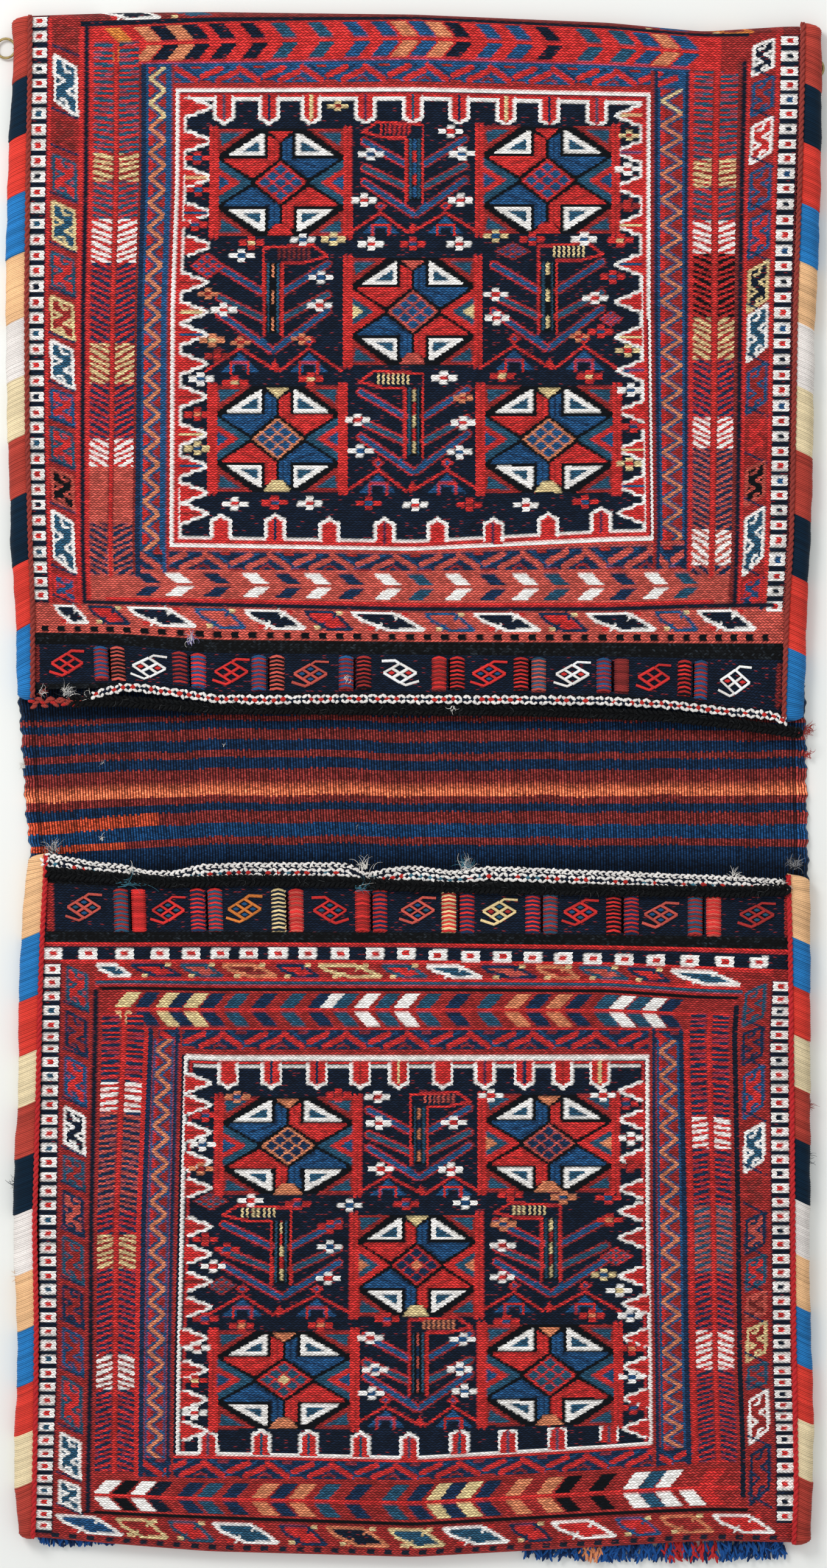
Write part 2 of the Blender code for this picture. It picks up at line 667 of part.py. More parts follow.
def make_lip_edge(name, yarn, centre_y, bottom, width, height, half_length):
    bm = extruded(
        oval(centre_y, bottom, width, height, 10), 0, MIDDLE_X - half_length, MIDDLE_X + half_length
    )
    for face in bm.faces:
        face.smooth = abs(face.normal.x) < 0.5
    return add_object(name, mesh_from(bm, name), [yarn])


def make_ring(side):
    name = "left" if side < 0 else "right"
    centre, hinge = ring_place(side)
    turn = RING_RADIUS - RING_WIRE
    bpy.ops.mesh.primitive_torus_add(
        major_radius=turn, minor_radius=RING_WIRE, major_segments=24, minor_segments=6,
    )
    ring = bpy.context.object
    ring.name = f"ring_{name}"
    bpy.ops.mesh.primitive_torus_add(
        major_radius=RING_WIRE + LOOP_SLACK + LOOP_WIRE, minor_radius=LOOP_WIRE,
        major_segments=12, minor_segments=6,
    )
    loop = bpy.context.object
    loop.name = f"ring_loop_{name}"
    loop.rotation_euler = (pi / 2, 0, 0)
    loop.location = hinge
    ring.data.transform(Matrix.Translation(centre - hinge))
    ring.location = hinge
    for thing, yarn in ((ring, "brass"), (loop, "navy")):
        thing.data.materials.clear()
        thing.data.materials.append(materials[yarn])
        thing.data.shade_smooth()
        for home in list(thing.users_collection):
            home.objects.unlink(thing)
        pieces.objects.link(thing)


def make_pile():
    """Tufts of knotted pile along the lower fold, as one fringe with a toothed edge."""
    near = BOTTOM - GAP
    pitch = PILE_LENGTH / PILE_TUFTS
    start = MIDDLE_X + PILE_START
    outline = [(start, near)]
    for tuft in range(PILE_TUFTS):
        left = start + tuft * pitch
        reach = PILE_REACH * (1.0 if tuft % 3 else 0.75)
        notch = PILE_REACH * 0.35
        outline += [(left + pitch * 0.15, BOTTOM - notch), (left + pitch * 0.5, BOTTOM - reach)]
    outline += [(start + PILE_LENGTH, BOTTOM - PILE_REACH * 0.35), (start + PILE_LENGTH, near)]
    bm = extruded(outline, 2, 0.0, PILE_HEIGHT)
    add_object("fold_pile", mesh_from(bm, "fold_pile"), ["blue"])


clear_scene()
pieces = bpy.data.collections.new("saddle_bag")
cutters = bpy.data.collections.new("cutters")
bpy.context.scene.collection.children.link(pieces)
bpy.context.scene.collection.children.link(cutters)
materials = make_materials()

make_strip()
for side in (-1, 1):
    upper = make_binding(side, "upper", UPPER_WRAPS, UPPER_LIP, TOP)
    make_binding(side, "lower", LOWER_WRAPS, LOWER_LIP, BOTTOM)
    for wrap in upper[:2]:
        cut(wrap, f"room_in_{wrap.name}", [ring_room(side)])
    make_seam_cord(side, "upper", UPPER_LIP, TOP, "rust")
    make_seam_cord(side, "lower", LOWER_LIP, BOTTOM, "red")
    make_ring(side)

lip_reach = MOUTH_CORD_WIDTH / 2 + GAP
make_lip_edge(
    "mouth_cord_upper", "goat_hair", UPPER_LIP - lip_reach, FRONT_UNDER,
    MOUTH_CORD_WIDTH, MOUTH_CORD_THICK, HALF_STRIP - GAP,
)
inner_half = HALF_STRIP - SEAM_TUCK - 2 * SEAM_CORD_RADIUS - 2 * GAP
flat = THICK + BAND_RISE + GAP
make_lip_edge(
    "twined_edge_upper", "white", UPPER_LIP + TWINE_INSET, flat, TWINE_WIDTH, TWINE_THICK, inner_half,
)
make_lip_edge(
    "twined_edge_lower", "white", LOWER_LIP + LIP_TWINE_WIDTH / 2 + GAP, FRONT_UNDER,
    LIP_TWINE_WIDTH, MOUTH_CORD_THICK, HALF_STRIP - GAP,
)
make_lip_edge(
    "mouth_cord_lower", "goat_hair", LOWER_LIP - MOUTH_CORD_WIDTH / 2, flat,
    MOUTH_CORD_WIDTH, MOUTH_CORD_THICK * 0.6, inner_half,
)
make_pile()
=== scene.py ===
import math

import bmesh
import bpy
import numpy as np
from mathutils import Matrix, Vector


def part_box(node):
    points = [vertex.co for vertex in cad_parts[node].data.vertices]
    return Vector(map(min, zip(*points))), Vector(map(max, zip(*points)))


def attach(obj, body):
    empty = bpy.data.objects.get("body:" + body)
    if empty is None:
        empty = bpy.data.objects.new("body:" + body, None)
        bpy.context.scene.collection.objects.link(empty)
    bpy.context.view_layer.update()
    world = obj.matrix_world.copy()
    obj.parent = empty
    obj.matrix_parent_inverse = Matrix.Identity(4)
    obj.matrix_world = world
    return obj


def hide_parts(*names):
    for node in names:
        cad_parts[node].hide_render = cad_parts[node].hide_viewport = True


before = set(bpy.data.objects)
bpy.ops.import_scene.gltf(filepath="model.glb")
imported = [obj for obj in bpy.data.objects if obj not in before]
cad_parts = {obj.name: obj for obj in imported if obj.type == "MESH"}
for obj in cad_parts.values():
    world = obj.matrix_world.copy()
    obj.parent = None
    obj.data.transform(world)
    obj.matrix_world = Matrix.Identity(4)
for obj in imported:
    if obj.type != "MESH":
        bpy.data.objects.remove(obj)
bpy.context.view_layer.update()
bpy.ops.object.select_all(action="DESELECT")
print("frame loaded")

# Places on the cloth are given on a flat plan, in steps of 0.415 mm, x to the right and y down.
planStep = 0.000415
planScale = {"middle": 679, "middleX": 0.0025, "top": 20, "topY": 0.5295}


def toX(x):
    return planScale["middleX"] + (x - planScale["middle"]) * planStep


def toY(y):
    return planScale["topY"] - (y - planScale["top"]) * planStep


# Camera, light and floor.
studio = {
    "height": 2.6, "viewTop": 0.5378, "viewTall": 1.06904, "focusAt": 0.012,
    "floor": (0.90, 0.91, 0.875), "fill": 0.74, "keyPower": 30.0, "keyAt": (-1.3, 1.4, 1.9), "keySize": 0.9,
}
viewMiddle = studio["viewTop"] - studio["viewTall"] / 2
bpy.ops.object.camera_add(location=(planScale["middleX"], viewMiddle, studio["height"] + studio["focusAt"]))
camera = bpy.context.object
camera.name = "camera"
camera.data.sensor_width = 36
camera.data.lens = 36 * studio["height"] / studio["viewTall"]
bpy.context.scene.camera = camera
bpy.context.scene.view_settings.view_transform = "Standard"

world = bpy.data.worlds.new("softRoom")
bpy.context.scene.world = world
world.use_nodes = True
world.node_tree.nodes["Background"].inputs["Color"].default_value = (0.97, 0.985, 1.0, 1)
world.node_tree.nodes["Background"].inputs["Strength"].default_value = studio["fill"]

bpy.ops.object.light_add(type="AREA", location=studio["keyAt"])
lamp = bpy.context.object
lamp.name = "keyLamp"
lamp.data.energy = studio["keyPower"]
lamp.data.size = studio["keySize"]
lamp.rotation_euler = (Vector((0, 0, 0)) - Vector(studio["keyAt"])).to_track_quat("-Z", "Y").to_euler()

bpy.ops.mesh.primitive_plane_add(size=8, location=(0, 0, -0.0004))
floor = bpy.context.object
floor.name = "floor"
floorFinish = bpy.data.materials.new("paleFloor")
floorFinish.use_nodes = True
floorFinish.node_tree.nodes["Principled BSDF"].inputs["Base Color"].default_value = (*studio["floor"], 1)
floorFinish.node_tree.nodes["Principled BSDF"].inputs["Roughness"].default_value = 0.8
floor.data.materials.append(floorFinish)
print("studio ready")

# Yarns: screen colours of the dyed wool, and how far each one's stitches stand up, in mm.
yarns = {
    "navy": ((14, 28, 48), 0.0), "ink": ((5, 10, 18), 0.05), "goat": ((9, 12, 15), 0.55),
    "red": ((220, 52, 50), 0.32), "brick": ((170, 48, 46), 0.28), "salmon": ((208, 90, 78), 0.30),
    "rust": ((136, 46, 44), 0.25), "blue": ((36, 86, 134), 0.30), "teal": ((42, 88, 116), 0.28),
    "deep": ((24, 50, 84), 0.22), "white": ((255, 250, 244), 0.42), "cream": ((232, 206, 150), 0.40),
    "peach": ((226, 138, 98), 0.38), "orange": ((228, 132, 60), 0.36),
}
yarnNames = list(yarns)


def linear(screen):
    parts = np.array(screen, float) / 255
    return np.where(parts <= 0.04045, parts / 12.92, ((parts + 0.055) / 1.055) ** 2.4)


yarnColours = np.array([linear(yarns[name][0]) for name in yarnNames])
yarnLifts = np.array([yarns[name][1] for name in yarnNames]) / 1000


# How the cloth has crept from its straight plan: tables of shifts, blurred into gentle curves.
def softTable(columns, rows, values):
    fineX = np.linspace(columns[0], columns[-1], 120)
    fineY = np.linspace(rows[0], rows[-1], 160)
    wide = np.array([np.interp(fineX, columns, row) for row in values])
    fine = np.array([np.interp(fineY, rows, column) for column in wide.T]).T
    for _ in range(4):
        edged = np.pad(fine, 1, mode="edge")
        fine = (edged[:-2, 1:-1] + edged[2:, 1:-1] + edged[1:-1, :-2] + edged[1:-1, 2:] + 2 * fine) / 6
    return fineX, fineY, fine


def lookUp(table, x, y):
    fineX, fineY, fine = table
    across = np.clip((x - fineX[0]) / (fineX[1] - fineX[0]), 0, len(fineX) - 1.001)
    down = np.clip((y - fineY[0]) / (fineY[1] - fineY[0]), 0, len(fineY) - 1.001)
    i, j = across.astype(int), down.astype(int)
    s, t = across - i, down - j
    return (fine[j, i] * (1 - s) + fine[j, i + 1] * s) * (1 - t) + (
        fine[j + 1, i] * (1 - s) + fine[j + 1, i + 1] * s) * t


upperCreep = {
    "x": softTable(
        (46, 200, 290, 350, 680, 1000, 1066, 1150, 1300), (20, 148, 300, 500, 700, 893, 998, 1149),
        (
            (2, 0, 0, 0, 0, 0, 0, 5, 7), (1, 0, 1, 0, 0, 0, 0, 2, 6), (-2, 0, 0, 0, 0, 0, 0, 0, 0),
            (-4, -6, -8, -3, 0, 0, 0, 0, -6), (-3, -8, -9, -3, 0, 2, 3, -1, -9),
            (2, -11, -10, -3, 0, 3, 6, -3, -13), (6, -8, -6, 0, 0, 0, 0, -5, -20),
            (6, 0, 0, 0, 0, 0, 0, -8, -26),
        ),
    ),
    "y": softTable(
        (46, 200, 350, 680, 1000, 1150, 1290), (20, 45, 103, 148, 300, 700, 893, 940, 998, 1047, 1062, 1149),
        (
            (4, -1, -1, 5, 18, 33, 22), (2, -3, -11, -16, 0, 13, 15), (4, 4, 2, -4, 5, 14, 14),
            (0, 0, 0, -1, 6, 9, 9), (0, 0, 0, 0, 0, 2, 2), (0, 0, 0, 0, 0, 0, 0), (-4, -3, 0, 6, -12, -16, -10),
            (-2, 0, 0, 1, 0, 0, 0), (-12, -8, -5, 3, 3, -3, -5), (-12, -10, -2, 2, 2, 3, 3),
            (-14, -12, 1, 4, 7, 9, 9), (-15, -18, 0, 0, 3, 14, 36),
        ),
    ),
}
lowerCreep = {
    "x": softTable(
        (68, 150, 200, 300, 680, 1062, 1150, 1290), (1432, 1560, 1700, 2000, 2240, 2420, 2557),
        (
            (5, 5, 4, 0, 0, 0, 0, 4), (8, 8, 8, 5, 0, 0, 0, 4), (4, 6, 15, 7, 0, 0, -9, -2),
            (0, 0, 0, 0, 0, 0, 0, 0), (1, -1, -2, -6, 0, 4, 3, 2), (-6, -5, -3, -8, 0, 5, 8, 8),
            (-8, -6, -3, -6, 0, 5, 8, 8),
        ),
    ),
    "y": softTable(
        (68, 200, 350, 680, 1000, 1150, 1300),
        (1432, 1500, 1539, 1565, 1592, 1628, 1690, 1738, 2000, 2250, 2391, 2436, 2498, 2557),
        (
            (-8, -2, -4, 0, 8, 12, 16), (-3, 0, 0, 0, 3, 6, 9), (-1, 0, -1, 1, 5, 7, 9),
            (0, 0, 0, 1, 5, 10, 17), (0, 0, 0, 2, 4, 12, 18), (0, -3, 0, 0, 2, 13, 16), (0, 0, 0, 0, 0, 2, 5),
            (-8, -8, 0, 0, -1, -2, 0), (0, 0, 0, 0, 0, 0, 0), (0, 0, 0, 0, 0, 0, 0),
            (-5, -5, -4, 4, -16, -28, -28), (-10, -8, -4, -2, -20, -30, -30), (-20, -12, -6, 6, -12, -18, -16),
            (-30, -18, -6, 3, -15, -24, -21),
        ),
    ),
}
bridgeCreep = {
    "x": softTable((20, 1340), (1100, 1500), ((0, 0), (0, 0))),
    "y": softTable(
        (30, 160, 300, 450, 680, 900, 1150, 1325), (1160, 1242, 1298, 1343, 1400),
        (
            (8, 6, 0, -2, 0, 0, 2, 6), (10, 3, 0, -5, 3, 2, 0, -3), (9, 3, 0, -3, -1, -1, -2, -4),
            (20, 10, 0, -3, -1, 1, 1, 0), (14, 10, 2, -2, 0, 2, 2, 6),
        ),
    ),
}


def crept(creep, x, y):
    return x + lookUp(creep["x"], x, y), y + lookUp(creep["y"], x, y)


def uncrept(creep, x, y):
    straightX, straightY = x, y
    for _ in range(3):
        straightX = x - lookUp(creep["x"], straightX, straightY)
        straightY = y - lookUp(creep["y"], straightX, straightY)
    return straightX, straightY


# A plan of coloured stitches, on which the pattern is drawn with filled shapes and thick lines.
def newPlan(left, right, top, bottom, cell, creep):
    wide, tall = round((right - left) / cell), round((bottom - top) / cell)
    x, y = np.meshgrid(left + (np.arange(wide) + 0.5) * cell, top + (np.arange(tall) + 0.5) * cell)
    return {
        "left": left, "top": top, "cell": cell, "x": x, "y": y, "creep": creep, "seen": False,
        "yarn": np.zeros(x.shape, int), "lift": np.zeros(x.shape),
    }


def placed(plan, points):
    if not plan["seen"]:
        return [(float(x), float(y)) for x, y in points]
    xs, ys = np.array([p[0] for p in points], float), np.array([p[1] for p in points], float)
    return list(zip(*uncrept(plan["creep"], xs, ys)))


def window(plan, points, margin):
    xs, ys = [p[0] for p in points], [p[1] for p in points]
    cell, tall, wide = plan["cell"], *plan["x"].shape
    low = max(0, int((min(xs) - margin - plan["left"]) / cell))
    high = min(wide, int((max(xs) + margin - plan["left"]) / cell) + 2)
    first = max(0, int((min(ys) - margin - plan["top"]) / cell))
    last = min(tall, int((max(ys) + margin - plan["top"]) / cell) + 2)
    return slice(first, last), slice(low, high)


def put(plan, area, mask, yarn, lift):
    plan["yarn"][area][mask] = yarnNames.index(yarn)
    plan["lift"][area][mask] = lift


def fill(plan, points, yarn, lift=0.0):
    points = placed(plan, points)
    area = window(plan, points, 0)
    x, y = plan["x"][area], plan["y"][area]
    inside = np.zeros(x.shape, bool)
    for (xa, ya), (xb, yb) in zip(points, points[1:] + points[:1]):
        if ya != yb:
            inside ^= ((ya > y) != (yb > y)) & (x < (xb - xa) * (y - ya) / (yb - ya) + xa)
    put(plan, area, inside, yarn, lift)


def line(plan, points, width, yarn, lift=0.0):
    points = placed(plan, points)
    area = window(plan, points, width)
    x, y = plan["x"][area], plan["y"][area]
    near = np.zeros(x.shape, bool)
    for (xa, ya), (xb, yb) in zip(points, points[1:]):
        run = (xb - xa) ** 2 + (yb - ya) ** 2 or 1.0
        t = np.clip(((x - xa) * (xb - xa) + (y - ya) * (yb - ya)) / run, 0, 1)
        near |= (x - xa - t * (xb - xa)) ** 2 + (y - ya - t * (yb - ya)) ** 2 <= width * width / 4
    put(plan, area, near, yarn, lift)


def block(plan, x0, y0, x1, y1, yarn, lift=0.0):
    fill(plan, [(x0, y0), (x1, y0), (x1, y1), (x0, y1)], yarn, lift)


def moved(points, x, y, sx=1.0, sy=1.0):
    return [(x + sx * a, y + sy * b) for a, b in points]


# Motifs of the field.
starShape = {
    "size": (109, 88),
    "arm": ((-26, -80), (-2, -66), (-2, -36), (-42, -5), (-93, -35), (-93, -43), (-21, -41), (-21, -68)),
    "armLines": (((-10, -70), (-10, -36), (-44, -12)), ((-18, -60), (-18, -38), (-62, -24))),
    "edge": ((-93, -47), (-31, -87), (-20, -87), (-20, -39), (-93, -39)),
    "triangle": ((-85, -46), (-31, -81), (-26, -81), (-26, -44), (-85, -44)),
    "eye": ((-64, -50), (-37, -67), (-34, -67), (-34, -50)),
    "corner": ((-109, -88), (-44, -88), (-99, -49), (-109, -49)),
    "cornerEye": ((-100, -82), (-62, -82), (-97, -60)),
    "heart": ((-43, 0), (0, -35), (43, 0), (0, 35)),
    "wing": ((-104, -38), (-98, -38), (-47, 0), (-98, 38), (-104, 38)),
    "wingInner": ((-104, -24), (-66, 0), (-104, 24)),
    "wingEye": ((-103, -13), (-83, 0), (-103, 13)),
    "cap": ((-19, -84), (19, -84), (0, -67)), "foot": ((-24, 87), (22, 87), (9, 69), (-10, 69)),
    "cross": ((-100, -38), (-47, -3), (0, -38), (0, -66)),
}


# A hooked star in a compartment; turned swaps its red and blue arms
def star(plan, x0, y0, x1, y1, turned=False, cap="red", mesh="red", seeds="blue", heartSeed=None, wing="blue"):
    shape = starShape
    cx, cy = (x0 + x1) / 2, (y0 + y1) / 2
    sx, sy = (x1 - x0) / 2 / shape["size"][0], (y1 - y0) / 2 / shape["size"][1]
    block(plan, x0 - 2, y0, x1 + 2, y1, "brick")
    fill(plan, moved(((-44, -88), (44, -88), (104, -44), (104, 44), (44, 88), (-44, 88), (-104, 44), (-104, -44)),
                     cx, cy, sx, sy), "ink")
    for flipX, flipY in ((1, 1), (-1, 1), (1, -1), (-1, -1)):
        part = {"x": cx, "y": cy, "sx": sx * flipX, "sy": sy * flipY}
        fill(plan, moved(shape["corner"], **part), "brick")
        fill(plan, moved(shape["cornerEye"], **part), "teal")
        red = (flipX == flipY) != turned
        fill(plan, moved(shape["arm"], **part), "red" if red else "blue")
        for stripe in shape["armLines"]:
            line(plan, moved(stripe, **part), 2.6, "brick" if red else "deep")
    for flip in (1, -1):
        side = {"x": cx, "y": cy, "sx": sx * flip, "sy": sy}
        fill(plan, moved(shape["wing"], **side), "teal" if wing == "blue" else "red")
        fill(plan, moved(shape["wingInner"], **side), "red" if wing == "blue" else "teal")
        fill(plan, moved(shape["wingEye"], **side), wing)
    for flipX, flipY in ((1, 1), (-1, 1), (1, -1), (-1, -1)):
        part = {"x": cx, "y": cy, "sx": sx * flipX, "sy": sy * flipY}
        line(plan, moved(shape["cross"], **part), 4.6, "ink")
        fill(plan, moved(shape["edge"], **part), "ink")
        fill(plan, moved(shape["triangle"], **part), "white")
        fill(plan, moved(shape["eye"], **part), "teal")
    fill(plan, moved(((-48, 0), (0, -40), (48, 0), (0, 40)), cx, cy, sx, sy), "ink")
    fill(plan, moved(shape["heart"], cx, cy, sx, sy), mesh)
    for i in (-1, 0, 1):
        for j in (-1, 0, 1):
            at = (cx + (i - j) * 13 * sx, cy + (i + j) * 10.6 * sy)
            seed = heartSeed if heartSeed and i == j == 0 else seeds
            fill(plan, moved(((-10.4, 0), (0, -8.4), (10.4, 0), (0, 8.4)), *at), seed)
    fill(plan, moved(shape["cap"], cx, cy, sx, sy), cap)
    fill(plan, moved(shape["foot"], cx, cy, sx, sy), cap)
    for edge in (x0 - 1, x1 + 1):
        for side in (-4.2, 4.2):
            line(plan, [(edge + side, y0 - 2), (edge + side, y1 + 2)], 7, "red", 0.0005)


# A tree with a bent head; head tells its side and stem shifts the trunk
def tree(plan, x0, y0, x1, y1, head=-1, stem=0.0, first="blue", second="red", bead="red"):
    cx, cy = (x0 + x1) / 2 + stem, (y0 + y1) / 2
    sx, sy = (x1 - x0) / 2 / 100 * -head, (y1 - y0) / 2 / 90
    half = (x1 - x0) / 200

    def at(points):
        return moved(points, cx, cy, sx, sy)

    block(plan, cx - 15, cy - 84 * sy, cx + 15, cy + 34 * sy, "ink")
    for reach, rise, foot in ((-61, -25, 0), (-18, 12, 0), (5, 56, 1)):
        for flip in (1, -1):
            outer = (flip * (86 * half) - stem * (flip * half > 0) * 0.4, reach - (4 if flip > 0 else 0))
            inner = ((4 if foot else 17) * flip, rise)
            points = [(cx + outer[0], cy + outer[1] * sy), (cx + inner[0], cy + inner[1] * sy)]
            line(plan, points, 14.5, "brick" if flip > 0 else "red")
            line(plan, points, 8.4, "blue" if reach != -18 else "teal")
    for x, top in ((-15, -66), (14, -86)):
        line(plan, at([(x, top), (x, 36)]), 5, "red", 0.0002)
    for x in (-8, 7):
        line(plan, at([(x, -80), (x, 30)]), 3.4, "teal")
    for index in range(6):
        y = -82 + index * 19
        line(plan, at([(0, y), (0, y + 15)]), 4.6, first if index % 2 else second)
    fill(plan, at([(13, -88), (-64, -92), (-88, -76), (-50, -66), (13, -66)]), "navy")
    for index in range(7):
        line(plan, at([(-10 - index * 8, -87), (-10 - index * 8, -74)]), 3.9, bead)
    line(plan, at([(14, -88), (-64, -92), (-88, -76), (-50, -67), (-15, -67)]), 4.4, "red")
    for side in (-58, 53):
        fill(plan, at([(side - 32, 88), (side, 60), (side + 30, 88)]), "blue")
        line(plan, at([(-110 if side < 0 else -6, 86), (side, 54), (-12 if side < 0 else 108, 86)]), 4.4, "red")
        line(plan, at([(side - 14, 90), (side - 14, 74), (side + 14, 74), (side + 14, 90)]), 4.4, "red")
        block(plan, *at([(side - 9, 78)])[0], *at([(side + 9, 90)])[0], "navy")
        fill(plan, at([(side - 11, 44), (side, 36), (side + 11, 44), (side, 52)]), "red")
        fill(plan, at([(side - 5, 44), (side, 40), (side + 5, 44), (side, 48)]), "blue")
    line(plan, at([(-22, 40), (-2, 60), (18, 40)]), 4.6, "blue")
    fill(plan, at([(-12, 84), (-3, 70), (6, 84)]), "red")


def flower(plan, x, y, petals="white", heart="red", size=1.0):
    for dx, dy, wide, tall in ((-14, 0, 6.6, 4.2), (14, 0, 6.6, 4.2), (0, -7, 6.2, 3.6), (0, 7, 6.2, 3.6)):
        block(plan, x + (dx - wide) * size, y + (dy - tall) * size, x + (dx + wide) * size,
              y + (dy + tall) * size, petals)
    block(plan, x - 6 * size, y - 3.4 * size, x + 6 * size, y + 3.4 * size, heart)


def latticeDiamond(plan, x, y, wide, tall, edge="red", seed="blue"):
    fill(plan, moved(((-1, 0), (0, -1), (1, 0), (0, 1)), x, y, wide, tall), edge)
    for i in (-1, 0, 1):
        for j in (-1, 0, 1):
            at = (x + (i - j) * wide * 0.31, y + (i + j) * tall * 0.31)
            fill(plan, moved(((-0.2, 0), (0, -0.2), (0.2, 0), (0, 0.2)), *at, wide, tall), seed)


# A crenel of the white key line; turn is its direction, as a step in x and in y
def tooth(plan, x, y, length, turn, half=15, core="blue", spiked=False):
    tx, ty = turn

    def at(across, out):
        return (x + tx * out + abs(ty) * across, y + ty * out + abs(tx) * across)

    if spiked:
        half += 4
        side = ((half, 0), (half - 1, length * 0.36), (half * 0.6, length * 0.45), (half * 0.42, length * 0.74))
    else:
        side = ((half, 0), (half, length * 0.8), (half * 0.5, length * 0.86))
    rim = [at(-across, out) for across, out in side] + [at(0, length)] + [at(across, out) for across,
                                                                          out in side[::-1]]
    fill(plan, rim, "red")
    line(plan, [at(0, 2), at(0, length * 0.8)], 4.2, core)
    rim[0], rim[-1] = at(-side[0][0], 6), at(side[0][0], 6)
    line(plan, rim, 4.8 if spiked else 5.4, "white", 0.0002)


# Borders.
def checkerColumn(plan, x0, x1, y0, y1, pitch, hearts, ground="navy"):
    block(plan, x0 - 1, y0, x1 + 1, y1, ground)
    y, index = y0 + 2, 0
    while y < y1 - 8:
        block(plan, x0, y, x1, y + pitch * 0.66, "white", 0.0001)
        middle = (x0 + x1) / 2
        block(plan, middle - 5.5, y + pitch * 0.16, middle + 4.5, y + pitch * 0.5, hearts[index % len(hearts)])
        y, index = y + pitch, index + 1


# A leaning box with hooks; it runs down the cloth if upright, and across it otherwise
def hookedBox(plan, x0, y0, x1, y1, rim, inside, upright, flip=False):
    def at(points):
        found = []
        for across, along in points:
            across = 1 - across if flip else across
            found.append((x0 + across * (x1 - x0), y0 + along * (y1 - y0)) if upright
                         else (x0 + along * (x1 - x0), y0 + across * (y1 - y0)))
        return found

    body = at(((0.05, 0.0), (0.02, 0.56), (0.3, 0.72), (0.95, 1.0), (1.0, 0.5), (0.8, 0.38), (0.45, 0.12))
              if not upright else ((0.05, 0.0), (0.9, 0.2), (0.97, 1.0), (0.08, 0.74)))
    fill(plan, body, inside)
    line(plan, body + body[:1], 5.2, rim)
    if upright:
        for hook in (
            ((0.05, 0.3), (0.46, 0.42), (0.1, 0.5)), ((0.95, 0.5), (0.56, 0.6), (0.95, 0.72)),
            ((0.4, 0.14), (0.5, 0.26), (0.7, 0.28)), ((0.6, 0.86), (0.5, 0.74), (0.32, 0.72)),
        ):
            line(plan, at(hook), 4.4, rim)
    else:
        line(plan, at(((0.1, 0.66), (0.36, 0.6))), 4, rim)
        line(plan, at(((0.98, 0.34), (0.66, 0.4))), 4, rim)
        for across, along in ((0.08, 0.74), (0.92, 0.26)):
            x, y = at(((across, along),))[0]
            block(plan, x - 5, y - 3, x + 5, y + 3, "red" if rim == "white" else "cream")


def hookedRow(plan, x0, y0, x1, y1, upright, boxes, ground="brick", flip=False):
    block(plan, x0, y0, x1, y1, ground)
    for start, end, rim, inside in boxes:
        if upright:
            hookedBox(plan, x0 + 2, start, x1 - 2, end, rim, inside, True, flip)
            line(plan, [(x0, end - 14), (x1, end + 4)], 3.6, "deep")
        else:
            hookedBox(plan, start, y0 + 2, end, y1 - 2, rim, inside, False, flip)


# Two columns of slanted bars on either side of a red cord
def chevrons(plan, columns, y0, y1, groups, lean=0.5, plain=("red", "teal")):
    (a, b), (c, d) = columns
    rows = plan["y"][:, 0]
    for x0, x1, side in ((a, b, 1), (c, d, -1)):
        cols = (plan["x"][0] > x0) & (plan["x"][0] < x1)
        for row in np.nonzero((rows > y0) & (rows < y1))[0]:
            y = rows[row]
            bar, ground, pitch = plain[1], plain[0], 10
            for start, end, barYarn, groundYarn, groupPitch in groups:
                if start <= y < end:
                    bar, ground, pitch = barYarn, groundYarn, groupPitch
            slope = lean * min(1.0, max(0.15, (y - y0) / 420))
            phase = (y - side * slope * (plan["x"][row, cols] - x0) + 1.2 * np.sin(y * 0.21)) / pitch
            picked = np.where(phase % 1 < 0.54, yarnNames.index(bar), yarnNames.index(ground))
            plan["yarn"][row, cols] = picked
            plan["lift"][row, cols] = 0.0
    line(plan, [((b + c) / 2, y0), ((b + c) / 2, y1)], c - b - 0.5, "red", 0.0004)


def zigzags(plan, x0, x1, y0, y1, period=41, start=("cream", 0), ribs="blue"):
    cols = (plan["x"][0] > x0) & (plan["x"][0] < x1)
    rows = (plan["y"][:, 0] > y0) & (plan["y"][:, 0] < y1)
    area = np.ix_(rows, cols)
    x, y = plan["x"][area], plan["y"][area]
    turn = np.abs(((y - y0) / period) % 1 * 2 - 1)
    away = x - (x0 + 6 + turn * (x1 - x0 - 12))
    picked = np.full(x.shape, yarnNames.index("brick"))
    picked[(x - x0 < 12) & (np.abs(away) > 12)] = yarnNames.index("red")
    picked[(np.abs(away) < 12) & (np.abs(away) > 5.8)] = yarnNames.index(ribs)
    picked[np.abs(away) < 4.8] = yarnNames.index("peach")
    picked[(np.abs(away) < 4.4) & (y < start[1])] = yarnNames.index(start[0])
    picked[np.abs(x - x0 - 2) < 2.2] = yarnNames.index(ribs)
    picked[np.abs(x - x1 + 2) < 2.2] = yarnNames.index(ribs)
    plan["yarn"][area] = picked
    plan["lift"][area] = 0.0


# Two rows of leaning blocks that meet in arrowheads; marks are (yarn, places) and, for one row alone, -1 or 1
def arrows(plan, x0, x1, y0, y1, marks, ground, point, width=25):
    block(plan, x0, y0, x1, y1, ground)
    middle, lean = (y0 + y1) / 2, 21 * point
    for yarn, places, *rows in marks:
        for x, row in [(x, row) for x in places for row in rows or (-1, 1)]:
            near, far = middle + row * 3, middle + row * ((y1 - y0) / 2 - 3)
            half = width / 2
            fill(plan, [(x - half + lean / 2, near), (x + half + lean / 2, near), (x + half - lean / 2, far),
                        (x - half - lean / 2, far)], yarn)
    line(plan, [(x0, middle), (x1, middle)], 4.2, ground if ground == "salmon" else "red", 0.0002)


